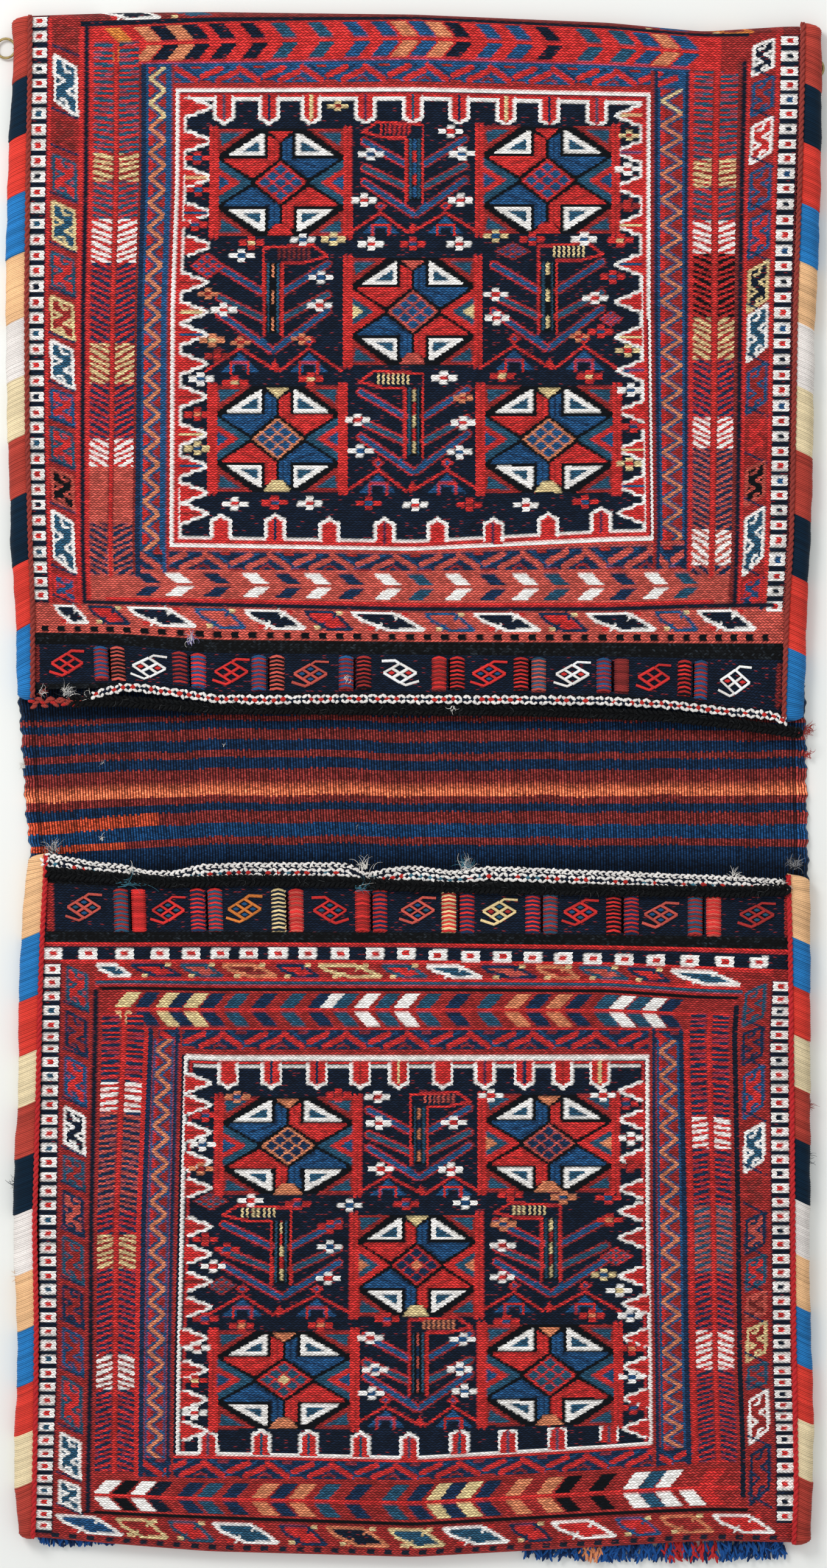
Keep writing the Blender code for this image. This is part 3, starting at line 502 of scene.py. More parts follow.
def leafRow(plan, x0, x1, y0, y1, bars="red", ground="deep", threads="blue"):
    block(plan, x0, y0, x1, y1, ground)
    x, tall = x0 + 4, y1 - y0
    while x < x1 - 40:
        line(plan, [(x + 36, y0 + 0.95 * tall), (x + 88, y0 + 0.08 * tall)], 3, threads)
        line(plan, [(x + 14, y0 + 0.02 * tall), (x + 48, y0 + 0.9 * tall)], 3, threads)
        for ax, ay, bx, by in ((2, 0.16, 33, 0.84), (44, 0.62, 74, 0.18), (70, 0.84, 99, 0.4)):
            line(plan, [(x + ax, y0 + ay * tall), (x + bx, y0 + by * tall)], 9.5, bars)
        line(plan, [(x + 40, y0 + 0.98 * tall), (x + 58, y0 + 0.98 * tall)], 5, "brick")
        line(plan, [(x - 12, y0 + 0.9 * tall), (x - 2, y0 + 0.72 * tall), (x + 8, y0 + 0.9 * tall)], 3.6, "brick")
        line(plan, [(x + 28, y0 + 0.1 * tall), (x + 40, y0 + 0.1 * tall)], 5, "brick")
        x += 103


def slitBars(plan, slits, y0, y1):
    rows = plan["y"][:, 0]
    for x, left, right in slits:
        for (a, b), pair in (((x - 26, x - 3.5), left), ((x + 3.5, x + 26), right)):
            cols = (plan["x"][0] > a) & (plan["x"][0] < b)
            for row in np.nonzero((rows > y0) & (rows < y1))[0]:
                plan["yarn"][row, cols] = yarnNames.index(pair[row // 2 % 2])
                plan["lift"][row, cols] = 0.0003


def drawUpper():
    plan = newPlan(48, 1308, -16, 1148, 2, upperCreep)
    block(plan, 40, -16, 1320, 1160, "rust")
    # fold edge, arrows and bars along the top
    block(plan, 80, -16, 1280, 110, "brick")
    hookedRow(plan, 120, 4, 1260, 36, False, [
        (160, 262, "white", "navy"), (262, 360, "brick", "teal"), (1040, 1140, "brick", "blue"),
        (1150, 1230, "orange", "rust"),
    ], "rust")
    block(plan, 132, 36, 1225, 44, "navy")
    arrows(plan, 150, 1180, 46, 102, [
        ("orange", (196,)), ("peach", (243, 296, 664, 722, 1092)), ("navy", (270, 322, 366, 417, 752, 901)),
        ("teal", (467, 527, 968, 1022)), ("blue", (585, 632, 694, 803, 852, 1062, 1122)),
    ], "red", 1)
    block(plan, 232, 102, 1130, 148, "blue")
    leafRow(plan, 284, 1064, 107, 136, "red", "blue", "deep")
    block(plan, 284, 137, 1068, 142, "brick")
    # field
    block(plan, 286, 142, 1072, 902, "navy")
    drawUpperField(plan)
    # bottom borders
    block(plan, 48, 903, 1310, 1040, "salmon")
    leafRow(plan, 232, 1128, 906, 937, "salmon")
    arrows(plan, 226, 1176, 939, 988, [
        ("deep", (250, 357, 473, 576, 808, 1021)), ("white", (299, 420, 522, 636, 751, 861, 968, 1075)),
        ("teal", (690, 912, 1128)),
    ], "salmon", 1)
    # side borders, from the seam cords inwards
    checkerColumn(plan, 50, 77, 22, 1002, 25.8, ("red", "red", "red", "navy", "red", "red", "teal"))
    block(plan, 78, 26, 84, 1002, "red", 0.0002)
    hookedRow(plan, 85, 26, 130, 1002, True, [
        (40, 86, "rust", "brick"), (88, 192, "white", "teal"), (195, 252, "brick", "rust"),
        (255, 330, "teal", "red"), (332, 412, "cream", "teal"), (415, 486, "teal", "red"),
        (488, 560, "cream", "brick"), (560, 640, "white", "teal"), (640, 700, "blue", "red"),
        (702, 770, "teal", "red"), (772, 842, "salmon", "ink"), (842, 944, "white", "teal"),
        (946, 1000, "red", "blue"),
    ])
    for x, width, yarn in (
        (134, 6, "red"), (142, 8, "navy"), (150, 6, "red"), (230, 5, "rust"), (236, 7, "deep"),
        (279, 5, "blue"), (284, 5, "brick"),
    ):
        line(plan, [(x, 48 if x < 160 else 106), (x, 940 if x > 152 else 1000)], width, yarn,
             0.0002 if yarn == "red" else 0.0)
    bars = [
        (253, 299, "cream", "brick", 10), (360, 432, "white", "red", 11), (432, 565, "deep", "red", 11),
        (565, 630, "cream", "brick", 11), (630, 723, "deep", "red", 11), (723, 768, "white", "red", 11),
        (768, 862, "salmon", "salmon", 11), (862, 1000, "deep", "salmon", 11),
    ]
    chevrons(plan, ((154, 187), (195, 228)), 70, 946, bars)
    zigzags(plan, 240, 277, 108, 906, 41, ("cream", 196))
    line(plan, [(1310, 20), (1310, 1002)], 4, "rust")
    checkerColumn(plan, 1277, 1305, 42, 1002, 25.6, ("red", "navy", "red", "red", "blue"))
    block(plan, 1268, 40, 1275, 1002, "red", 0.0002)
    hookedRow(plan, 1228, 48, 1268, 1002, True, [
        (50, 112, "white", "navy"), (114, 184, "blue", "brick"), (186, 266, "white", "red"),
        (268, 345, "blue", "brick"), (346, 424, "blue", "red"), (428, 512, "cream", "navy"),
        (500, 594, "white", "teal"), (596, 680, "blue", "brick"), (682, 760, "brick", "red"),
        (762, 840, "salmon", "ink"), (842, 946, "white", "teal"), (948, 1000, "red", "blue"),
    ], "brick", True)
    for x, width, yarn in (
        (1225, 5, "red"), (1218, 8, "navy"), (1210, 6, "rust"), (1133, 8, "red"), (1127, 5, "deep"),
        (1077, 5, "deep"), (1071, 4, "brick"),
    ):
        line(plan, [(x, 90 if x > 1205 else 108), (x, 1000 if x > 1205 else 936)], width, yarn,
             0.0002 if yarn == "red" else 0.0)
    bars = [
        (258, 306, "cream", "brick", 10), (362, 416, "white", "red", 11), (416, 522, "ink", "red", 11),
        (522, 590, "cream", "brick", 11), (590, 686, "deep", "red", 11), (686, 740, "white", "red", 11),
        (740, 884, "deep", "salmon", 11), (884, 932, "white", "salmon", 11), (932, 950, "deep", "salmon", 11),
    ]
    chevrons(plan, ((1138, 1169), (1179, 1208)), 104, 946, bars)
    zigzags(plan, 1080, 1125, 138, 900, 42, ("cream", 180))
    # below the field
    block(plan, 180, 989, 1180, 995, "red", 0.0003)
    block(plan, 140, 995, 1290, 1002, "navy")
    hookedRow(plan, 85, 1003, 1262, 1036, False, [
        (89, 146, "white", "navy"), (150, 218, "deep", "red"), (219, 322, "white", "navy"),
        (324, 402, "blue", "salmon"), (404, 500, "white", "navy"), (502, 577, "deep", "red"),
        (579, 696, "white", "navy"), (700, 778, "blue", "salmon"), (780, 885, "white", "navy"),
        (887, 963, "deep", "red"), (965, 1076, "white", "navy"), (1078, 1150, "blue", "salmon"),
        (1152, 1256, "white", "navy"),
    ], "salmon")
    block(plan, 48, 1036, 1310, 1052, "salmon")
    for index in range(43):
        x = 64 + index * 28.7
        block(plan, x, 1040, x + 13, 1050, "ink")
    block(plan, 48, 1052, 1310, 1073, "goat", 0.0006)
    # closure band
    block(plan, 40, 1073, 1310, 1140, "navy")
    block(plan, 40, 1138, 1310, 1148, "goat")
    slitBars(plan, upperSlits, 1078, 1134)
    line(plan, [(56, 1078), (56, 1132)], 7, "rust")
    line(plan, [(1302, 1078), (1302, 1132)], 6, "rust")
    return plan


def drawUpperField(plan):
    line(plan, [(1065, 149), (290, 149), (290, 898), (1067, 898), (1065, 149)], 6, "white", 0.0004)
    for inset, width, yarn in ((7, 7.5, "red"), (-6, 5, "red")):
        line(plan, [(1065 - inset, 150 + inset), (291 + inset, 150 + inset), (291 + inset, 897 - inset),
                    (1066 - inset, 897 - inset), (1065 - inset, 150 + inset)], width, yarn)
    line(plan, [(1052, 163), (304, 163), (304, 884), (1053, 884), (1052, 163)], 5.2, "white", 0.0002)
    cores = ("teal", "deep", "cream", "deep")
    plan["seen"] = True
    for index, x in enumerate((368, 442, 511, 600, 678, 754, 831, 902, 980)):
        tooth(plan, x, 155 + max(0, (x - 700) * 0.02), 50, (0, 1), 14.5, cores[index % 4])
    for index, x in enumerate((363, 452, 541, 631, 718, 810, 900, 987)):
        lift = -12 * max(0, (x - 880) / 110)
        tooth(plan, x, 888 + (6 if 500 < x < 850 else 0) + lift, 42, (0, -1), 15, ("red", "deep")[index % 2])
    for index, y in enumerate((176, 232, 292, 350, 404, 464, 513, 550, 598, 652, 714, 766, 810, 844)):
        tooth(plan, 303 if y < 420 else 295, y, 46, (1, 0), 11, ("red", "rust", "cream", "blue")[index % 4], True)
    for index, y in enumerate((190, 250, 308, 370, 435, 496, 554, 609, 676, 739, 799, 843)):
        tooth(plan, 1054 if y < 600 else 1058, y, 44, (-1, 0), 11, ("cream", "blue", "red")[index % 3], True)
    block(plan, 344, 206, 1008, 812, "navy")
    star(plan, 352, 212, 570, 388)
    star(plan, 788, 208, 1010, 385)
    star(plan, 572, 424, 784, 600, cap="salmon", mesh="salmon", wing="cream")
    star(plan, 350, 634, 562, 808, turned=True, cap="cream", mesh="peach")
    star(plan, 790, 634, 1012, 810, cap="cream", mesh="peach")
    tree(plan, 585, 203, 777, 386, head=-1)
    tree(plan, 352, 405, 556, 614, head=1, stem=-6, first="peach", second="ink", bead="rust")
    tree(plan, 796, 402, 1002, 610, head=1, first="cream", second="ink", bead="cream")
    tree(plan, 578, 612, 782, 812, head=-1, first="cream", second="red", bead="cream")
    latticeDiamond(plan, 341, 437, 30, 22)
    latticeDiamond(plan, 842, 413, 30, 15, "brick")
    latticeDiamond(plan, 1003, 524, 20, 14, "red")
    for colours, places in (
        (("white", "blue"), (
            (609, 254), (497, 394), (397, 420), (527, 456), (759, 253), (959, 393), (330, 623), (592, 741),
            (754, 743), (1035, 641),
        )),
        (("white", "red"), (
            (598, 329), (609, 401), (525, 502), (368, 509), (740, 216), (756, 329), (754, 401), (1031, 278),
            (814, 484), (977, 490), (587, 690), (386, 828), (509, 827), (682, 830), (863, 830), (816, 523),
            (729, 621), (760, 695),
        )),
        (("red", "blue"), (
            (324, 260), (326, 312), (320, 369), (678, 401), (874, 393), (1006, 455), (451, 826), (605, 827),
            (961, 825), (986, 545), (1040, 701),
        )),
        (("red", "cream"), ((413, 399), (1019, 395), (386, 629), (511, 623), (825, 618), (968, 619))),
        (("cream", "blue"), ((547, 393), (814, 388), (324, 737))),
        (("brick", "red"), ((1031, 338), (357, 585))),
        (("peach", "cream"), ((348, 559),)),
        (("red", "peach"), ((324, 681),)),
        (("red", "brick"), ((771, 830),)),
        (("cream", "red"), ((1031, 576), (1033, 762))),
    ):
        for place in places:
            flower(plan, *place, *colours)
    for x, y in ((555, 174), (1033, 223), (342, 483), (495, 557), (395, 563), (950, 553), (760, 654)):
        flower(plan, x, y, "cream" if y < 300 else "peach", "brick", 0.8)
    plan["seen"] = False


def drawLower():
    plan = newPlan(64, 1300, 1432, 2596, 2, lowerCreep)
    block(plan, 60, 1430, 1310, 2600, "brick")
    block(plan, 60, 1430, 1310, 1436, "goat")
    block(plan, 60, 1436, 1310, 1460, "goat", 0.0003)
    block(plan, 60, 1458, 1310, 1530, "navy")
    slitBars(plan, lowerSlits, 1464, 1530)
    line(plan, [(76, 1462), (76, 1528)], 12, "brick")
    line(plan, [(1291, 1462), (1291, 1528)], 12, "brick")
    block(plan, 60, 1530, 1310, 1548, "goat", 0.0006)
    block(plan, 60, 1548, 1310, 1554, "red", 0.0004)
    block(plan, 60, 1554, 1310, 1577, "navy")
    block(plan, 92, 1577, 1268, 1582, "red", 0.0002)
    plan["seen"] = True
    for x in (
        87, 145, 205, 263, 314, 362, 409, 457, 506, 559, 616, 667, 719, 773, 826, 875, 925, 974, 1025, 1077,
        1132, 1190, 1246,
    ):
        drop = 1566 + (0 if x < 700 else 3 + (x - 700) * 0.022)
        block(plan, x - 15, drop - 9, x + 15, drop + 9, "white", 0.0002)
        block(plan, x - 6, drop - 4, x + 6, drop + 4, "red")
    plan["seen"] = False
    hookedRow(plan, 100, 1582, 1262, 1606, False, [
        (152, 204, "white", "teal"), (208, 290, "deep", "red"), (292, 360, "teal", "salmon"),
        (362, 450, "peach", "rust"), (452, 520, "deep", "red"), (522, 625, "cream", "brick"),
        (627, 700, "teal", "red"), (702, 790, "white", "teal"), (792, 880, "deep", "salmon"),
        (882, 950, "peach", "brick"), (952, 1030, "teal", "salmon"), (1032, 1100, "deep", "red"),
        (1104, 1214, "white", "teal"),
    ], "brick")
    block(plan, 150, 1606, 1220, 1612, "red", 0.0002)
    block(plan, 150, 1612, 1220, 1618, "teal")
    block(plan, 150, 1618, 1220, 1623, "red", 0.0002)
    block(plan, 154, 1623, 1214, 1628, "ink")
    arrows(plan, 170, 1190, 1629, 1689, [
        ("cream", (200, 268, 316)), ("deep", (232, 290, 344, 430, 524, 752, 884, 950, 1104)),
        ("white", (545,), -1), ("teal", (384, 478, 566, 636, 704, 804, 996, 1050)),
        ("white", (602, 668, 1022, 1076)), ("peach", (850, 918)),
    ], "brick", -1)
    block(plan, 250, 1689, 1124, 1693, "red", 0.0002)
    leafRow(plan, 250, 1120, 1693, 1724)
    block(plan, 294, 1725, 1072, 1734, "brick")
    block(plan, 290, 1734, 1070, 2396, "navy")
    drawLowerField(plan)
    block(plan, 290, 2395, 1066, 2400, "red")
    leafRow(plan, 232, 1124, 2401, 2432)
    block(plan, 160, 2432, 1210, 2438, "brick")
    arrows(plan, 150, 1204, 2438, 2496, [
        ("white", (180, 240, 1040, 1092)), ("ink", (210, 930, 985)), ("navy", (268,)), ("cream", (722,)),
        ("deep", (320, 392, 470, 590, 690, 744, 800)), ("teal", (352, 540, 650, 1066)), ("cream", (770,)),
        ("peach", (440, 500, 850, 900)), ("white", (1130,), 1), ("red", (1160,)),
    ], "brick", -1)
    block(plan, 120, 2496, 1230, 2503, "ink")
    hookedRow(plan, 90, 2505, 1266, 2540, False, [
        (100, 203, "white", "blue"), (196, 280, "cream", "brick"), (284, 355, "teal", "red"),
        (357, 460, "white", "teal"), (464, 538, "deep", "red"), (540, 638, "peach", "navy"),
        (640, 728, "cream", "teal"), (728, 832, "white", "teal"), (836, 902, "deep", "red"),
        (904, 1005, "white", "red"), (1008, 1078, "blue", "red"), (1080, 1162, "peach", "brick"),
        (1164, 1262, "white", "red"),
    ], "brick")
    block(plan, 60, 2540, 1310, 2600, "brick")
    for index in range(42):
        x = 92 + index * 28.4
        block(plan, x, 2543, x + 12, 2552, "navy")
    checkerColumn(plan, 66, 93, 1582, 2546, 22.9, ("red", "red", "red", "teal", "red"))
    block(plan, 94, 1582, 99, 2506, "brick", 0.0002)
    hookedRow(plan, 100, 1585, 140, 2506, True, [
        (1588, 1660, "teal", "red"), (1662, 1742, "deep", "brick"), (1744, 1822, "blue", "red"),
        (1824, 1900, "white", "navy"), (1902, 1956, "teal", "brick"), (1958, 2030, "deep", "salmon"),
        (2032, 2110, "teal", "brick"), (2112, 2180, "deep", "brick"), (2182, 2260, "blue", "brick"),
        (2262, 2356, "teal", "red"), (2358, 2440, "white", "teal"), (2442, 2500, "white", "teal"),
    ])
    for x, width, yarn in (
        (143, 5, "brick"), (150, 6, "navy"), (157, 5, "brick"), (228, 7, "red"), (236, 8, "deep"),
        (283, 7, "deep"), (290, 4, "brick"),
    ):
        line(plan, [(x, 1628 if x < 160 else 1692), (x, 2430 if x > 160 else 2496)], width, yarn,
             0.0003 if yarn == "red" else 0.0)
    bars = [
        (1784, 1832, "white", "red", 11), (1832, 1990, "deep", "salmon", 10),
        (2028, 2084, "cream", "brick", 10), (2226, 2284, "white", "brick", 11),
    ]
    chevrons(plan, ((160, 187), (195, 224)), 1665, 2424, bars, -0.35, ("red", "deep"))
    zigzags(plan, 241, 279, 1708, 2400, 41, ("peach", 0))
    checkerColumn(plan, 1268, 1296, 1594, 2520, 23.2, ("red", "red", "navy", "red"))
    block(plan, 1260, 1594, 1267, 2500, "brick", 0.0002)
    hookedRow(plan, 1221, 1600, 1259, 2500, True, [
        (1602, 1680, "teal", "brick"), (1682, 1750, "deep", "brick"), (1752, 1838, "blue", "red"),
        (1846, 1926, "white", "teal"), (1928, 1990, "brick", "rust"), (1992, 2060, "deep", "salmon"),
        (2062, 2120, "teal", "red"), (2122, 2170, "salmon", "rust"), (2172, 2236, "cream", "brick"),
        (2238, 2290, "teal", "brick"), (2292, 2400, "white", "brick"), (2402, 2490, "deep", "brick"),
    ], "brick", True)
    for x, width, yarn in (
        (1218, 4, "brick"), (1212, 6, "navy"), (1205, 5, "brick"), (1134, 8, "red"), (1124, 7, "deep"),
        (1074, 7, "deep"), (1069, 4, "brick"),
    ):
        line(plan, [(x, 1640 if x > 1200 else 1692), (x, 2480 if x > 1200 else 2430)], width, yarn,
             0.0003 if yarn == "red" else 0.0)
    bars = [
        (1836, 1888, "white", "red", 11), (2186, 2250, "white", "red", 11), (1980, 2090, "teal", "salmon", 10),
    ]
    chevrons(plan, ((1139, 1167), (1175, 1203)), 1655, 2430, bars, -0.35, ("red", "deep"))
    zigzags(plan, 1079, 1120, 1708, 2404, 41, ("peach", 0))
    return plan


def drawLowerField(plan):
    line(plan, [(299, 2391), (299, 1738), (1064, 1738), (1064, 2391)], 6.4, "white", 0.0004)
    line(plan, [(308, 2391), (308, 1746), (1056, 1746), (1056, 2391)], 4.2, "red")
    line(plan, [(314, 1752), (1050, 1752)], 5.4, "white", 0.0002)
    line(plan, [(299, 2391), (1064, 2391)], 6.4, "white", 0.0004)
    plan["seen"] = True
    for index, x in enumerate((375, 446, 521, 592, 655, 727, 796, 861, 924, 985)):
        tooth(plan, x, 1742, 46, (0, 1), 15, ("red", "deep", "deep", "brick", "cream")[index % 5])
    for x, y in (
        (342, 2391), (429, 2390), (507, 2391), (592, 2394), (672, 2396), (754, 2389), (834, 2386), (915, 2381),
        (1000, 2370),
    ):
        tooth(plan, x, y, 42, (0, -1), 14, "teal")
    for index, y in enumerate((1779, 1815, 1860, 1908, 1951, 2015, 2060, 2105, 2147, 2198, 2250, 2299, 2350)):
        tooth(plan, 303 if y < 2180 else 296, y, 44, (1, 0), 10.5, ("red", "rust", "brick")[index % 3], True)
    for index, y in enumerate((1792, 1839, 1903, 1953, 1990, 2033, 2096, 2142, 2198, 2245, 2297, 2346)):
        tooth(plan, 1060 if y < 2100 else 1066, y, 44, (-1, 0), 10.5, ("red", "brick")[index % 2], True)
    block(plan, 350, 1793, 1012, 2342, "navy")
    star(plan, 360, 1802, 586, 1962, turned=True, cap="peach", mesh="peach", seeds="deep")
    star(plan, 792, 1798, 1010, 1958, turned=True, cap="peach", mesh="salmon", seeds="deep", wing="peach")
    star(plan, 582, 1995, 786, 2162, cap="cream", mesh="red", seeds="deep", wing="peach", heartSeed="peach")
    star(plan, 351, 2186, 582, 2347, cap="peach", mesh="red", seeds="teal", heartSeed="cream")
    star(plan, 792, 2176, 1014, 2342, cap="peach", mesh="red", seeds="teal")
    tree(plan, 592, 1796, 784, 1965, head=1, first="peach", second="deep", bead="salmon")
    tree(plan, 352, 1982, 572, 2164, head=-1, first="cream", second="red", bead="cream")
    tree(plan, 800, 1978, 1010, 2158, head=-1, first="cream", second="brick", bead="cream")
    tree(plan, 586, 2166, 786, 2346, head=1, first="salmon", second="deep", bead="peach")
    latticeDiamond(plan, 346, 1973, 30, 15, "brick", "teal")
    latticeDiamond(plan, 364, 2112, 25, 16, "brick", "teal")
    latticeDiamond(plan, 1012, 2064, 28, 16, "red", "teal")
    for colours, places in (
        (("peach", "blue"), ((390, 1802), (925, 1967), (827, 2011))),
        (("red", "brick"), ((556, 1799), (337, 2036), (838, 1963))),
        (("white", "red"), (
            (620, 1802), (622, 1845), (625, 1920), (412, 1972), (806, 1800), (990, 1799), (745, 1844),
            (740, 1921), (1036, 1870), (825, 2046), (350, 2080), (539, 2100), (324, 2214), (608, 2198),
            (320, 2321), (825, 2098),
        )),
        (("red", "blue"), (
            (337, 1832), (489, 1978), (667, 1978), (542, 2015), (373, 2052), (1028, 1813), (999, 1968),
            (337, 2166), (636, 2167), (832, 2171), (1040, 2312),
        )),
        (("white", "blue"), (
            (333, 1880), (574, 1980), (542, 2048), (764, 1976), (616, 2250), (610, 2289), (1035, 2161),
            (760, 2200), (755, 2249), (763, 2285), (1037, 2262),
        )),
        (("peach", "brick"), ((330, 1920),)),
        (("brick", "red"), ((1035, 1916),)),
        (("red", "peach"), ((1001, 2004), (397, 2178), (526, 2177), (972, 2161), (1037, 2215))),
        (("red", "cream"), ((320, 2268),)),
        (("cream", "blue"), ((991, 2094),)),
        (("white", "cream"), ((1017, 2120),)),
    ):
        for place in places:
            flower(plan, *place, *colours)
    plan["seen"] = False


upperSlits = (
    (181, ("blue", "brick"), ("salmon", "ink")), (312, ("brick", "navy"), ("red", "blue")),
    (440, ("blue", "brick"), ("salmon", "ink")), (583, ("blue", "brick"), ("brick", "ink")),
    (736, ("red", "rust"), ("red", "ink")), (870, ("red", "ink"), ("teal", "salmon")),
    (1006, ("blue", "brick"), ("rust", "rust")), (1144, ("red", "ink"), ("blue", "brick")),
)
lowerSlits = (
    (208, ("brick", "teal"), ("red", "red")), (337, ("red", "deep"), ("red", "teal")),
    (471, ("cream", "navy"), ("red", "salmon")), (609, ("red", "brick"), ("red", "deep")),
    (752, ("cream", "red"), ("red", "deep")), (889, ("red", "deep"), ("brick", "teal")),
    (1022, ("red", "ink"), ("red", "deep")), (1156, ("brick", "teal"), ("red", "salmon")),
)


# Shared shader effects.
def newGroup(name, inputs, outputs):
    group = bpy.data.node_groups.new(name, "ShaderNodeTree")
    for label, kind, value in inputs:
        socket = group.interface.new_socket(label, in_out="INPUT", socket_type=kind)
        if value is not None:
            socket.default_value = value
    for label, kind in outputs:
        group.interface.new_socket(label, in_out="OUTPUT", socket_type=kind)
    return group, group.nodes.new("NodeGroupInput"), group.nodes.new("NodeGroupOutput")


def newNode(tree, kind, **settings):
    node = tree.nodes.new("ShaderNode" + kind)
    for name, value in settings.items():
        setattr(node, name, value)
    return node


def maths(tree, operation, *values):
    node = newNode(tree, "Math", operation=operation)
    for socket, value in zip(node.inputs, values):
        if isinstance(value, (int, float)):
            socket.default_value = value
        else:
            tree.links.new(value, socket)
    return node.outputs[0]


def mapped(tree, value, low, high, toLow, toHigh):
    node = newNode(tree, "MapRange")
    for socket, number in zip(node.inputs[1:5], (low, high, toLow, toHigh)):
        socket.default_value = number
    tree.links.new(value, node.inputs[0])
    return node.outputs[0]


# Slanted soumak stitches: each row is a rope of strands, and the rows lean in turn
def stitchGroup():
    group, enter, leave = newGroup(
        "soumakStitch",
        (
            ("Weave", "NodeSocketVector", None), ("Stitch", "NodeSocketFloat", 1.6),
            ("Lean", "NodeSocketFloat", 0.5),
        ),
        (("Shade", "NodeSocketFloat"), ("Height", "NodeSocketFloat"), ("Gap", "NodeSocketFloat")),
    )

    def do(operation, *values):
        return maths(group, operation, *values)

    parts = newNode(group, "SeparateXYZ")
    group.links.new(enter.outputs["Weave"], parts.inputs[0])
    across, along = parts.outputs[0], parts.outputs[1]
    row = do("FLOOR", along)
    odd = do("MODULO", row, 2.0)
    b = do("SUBTRACT", along, row)
    side = do("SUBTRACT", do("MULTIPLY", odd, 2.0), 1.0)
    tilt = do("MULTIPLY", do("MULTIPLY", do("SUBTRACT", b, 0.5), side),
                 enter.outputs["Lean"])
    place = do("ADD", do("DIVIDE", across, enter.outputs["Stitch"]),
                  do("ADD", do("MULTIPLY", odd, 0.5), tilt))
    index = do("FLOOR", place)
    a = do("SUBTRACT", place, index)
    ovalA = do("POWER", do("SINE", do("MULTIPLY", a, math.pi)), 0.7)
    ovalB = do("POWER", do("SINE", do("MULTIPLY", b, math.pi)), 0.6)
    oval = do("MULTIPLY", ovalA, ovalB)
    pair = newNode(group, "CombineXYZ")
    group.links.new(index, pair.inputs[0])
    group.links.new(row, pair.inputs[1])
    chance = newNode(group, "TexWhiteNoise", noise_dimensions="2D")
    group.links.new(pair.outputs[0], chance.inputs["Vector"])
    # Painted shade and highlight: each stitch is dark in the gaps round it and brighter than its yarn on its
    # crown, times a random tone for each stitch
    shade = do("MULTIPLY", mapped(group, oval, 0.0, 0.9, 0.0, 1.5),
                  mapped(group, chance.outputs["Value"], 0.0, 1.0, 0.6, 1.3))
    group.links.new(shade, leave.inputs["Shade"])
    group.links.new(oval, leave.inputs["Height"])
    between = do("MULTIPLY", do("LESS_THAN", b, 0.42),
                    do("GREATER_THAN", chance.outputs["Value"], 0.92))
    group.links.new(between, leave.inputs["Gap"])
    return group


# Fine wool fibres and slow changes of dye
def fibreGroup():
    group, enter, leave = newGroup(
        "woolFibre", (("Place", "NodeSocketVector", None), ("Fine", "NodeSocketFloat", 900.0)),
        (("Dye", "NodeSocketFloat"), ("Fuzz", "NodeSocketFloat")),
    )
    slow = newNode(group, "TexNoise")
    slow.inputs["Scale"].default_value = 26.0
    slow.inputs["Detail"].default_value = 4.0
    fine = newNode(group, "TexNoise")
    fine.inputs["Detail"].default_value = 3.0
    for node in (slow, fine):
        group.links.new(enter.outputs["Place"], node.inputs["Vector"])
    group.links.new(enter.outputs["Fine"], fine.inputs["Scale"])
    group.links.new(mapped(group, slow.outputs["Fac"], 0.3, 0.7, 0.9, 1.1), leave.inputs["Dye"])
    group.links.new(mapped(group, fine.outputs["Fac"], 0.3, 0.7, 0.86, 1.14), leave.inputs["Fuzz"])
    return group


stitches = stitchGroup()
fibres = fibreGroup()


def startFinish(name, roughness, sheen):
    finish = bpy.data.materials.new(name)
    finish.use_nodes = True
    tree = finish.node_tree
    shader = tree.nodes["Principled BSDF"]
    shader.inputs["Roughness"].default_value = roughness
    shader.inputs["Sheen Weight"].default_value = sheen
    shader.inputs["Sheen Roughness"].default_value = 0.5
    shader.inputs["Specular IOR Level"].default_value = 0.15
    return finish, tree, shader


def addGroup(tree, group, **values):
    node = newNode(tree, "Group", node_tree=group)
    for label, value in values.items():
        node.inputs[label].default_value = value
    return node


# A colour multiplied by grey factors
def clothInputs(tree, fine=900.0):
    weave = newNode(tree, "UVMap", uv_map="weave")
    drawn = newNode(tree, "Attribute", attribute_name="dye")
    where = newNode(tree, "TexCoord")
    wool = addGroup(tree, fibres, Fine=fine)
    tree.links.new(where.outputs["Object"], wool.inputs["Place"])
    return weave.outputs[0], drawn, wool.outputs["Dye"], wool.outputs["Fuzz"]


def addBump(tree, shader, height, strength, distance):
    bump = newNode(tree, "Bump")
    bump.inputs["Strength"].default_value = strength
    bump.inputs["Distance"].default_value = distance
    tree.links.new(height, bump.inputs["Height"])
    tree.links.new(bump.outputs[0], shader.inputs["Normal"])


def tinted(tree, colour, *factors):
    for factor in factors:
        mix = newNode(tree, "Mix", data_type="RGBA", blend_type="MULTIPLY")
        mix.inputs[0].default_value = 1.0
        tree.links.new(colour, mix.inputs[6])
        tree.links.new(factor, mix.inputs[7])
        colour = mix.outputs[2]
    return colour


# Painted shade between stitches and plies; pale yarn lights up its own gaps, so there its painted shade is weaker
def glowing(tree, colour, shade):
    grey = newNode(tree, "RGBToBW")
    tree.links.new(colour, grey.inputs[0])
    gap = maths(tree, "MAXIMUM", maths(tree, "SUBTRACT", 1.0, shade), 0.0)
    return maths(tree, "ADD", shade, maths(tree, "MULTIPLY", gap, maths(tree, "MULTIPLY", grey.outputs[0], 0.75)))


soumak = {"stitch": 1.7, "lean": 0.6, "bump": 0.9, "depth": 0.0007, "specks": (124, 38, 44)}


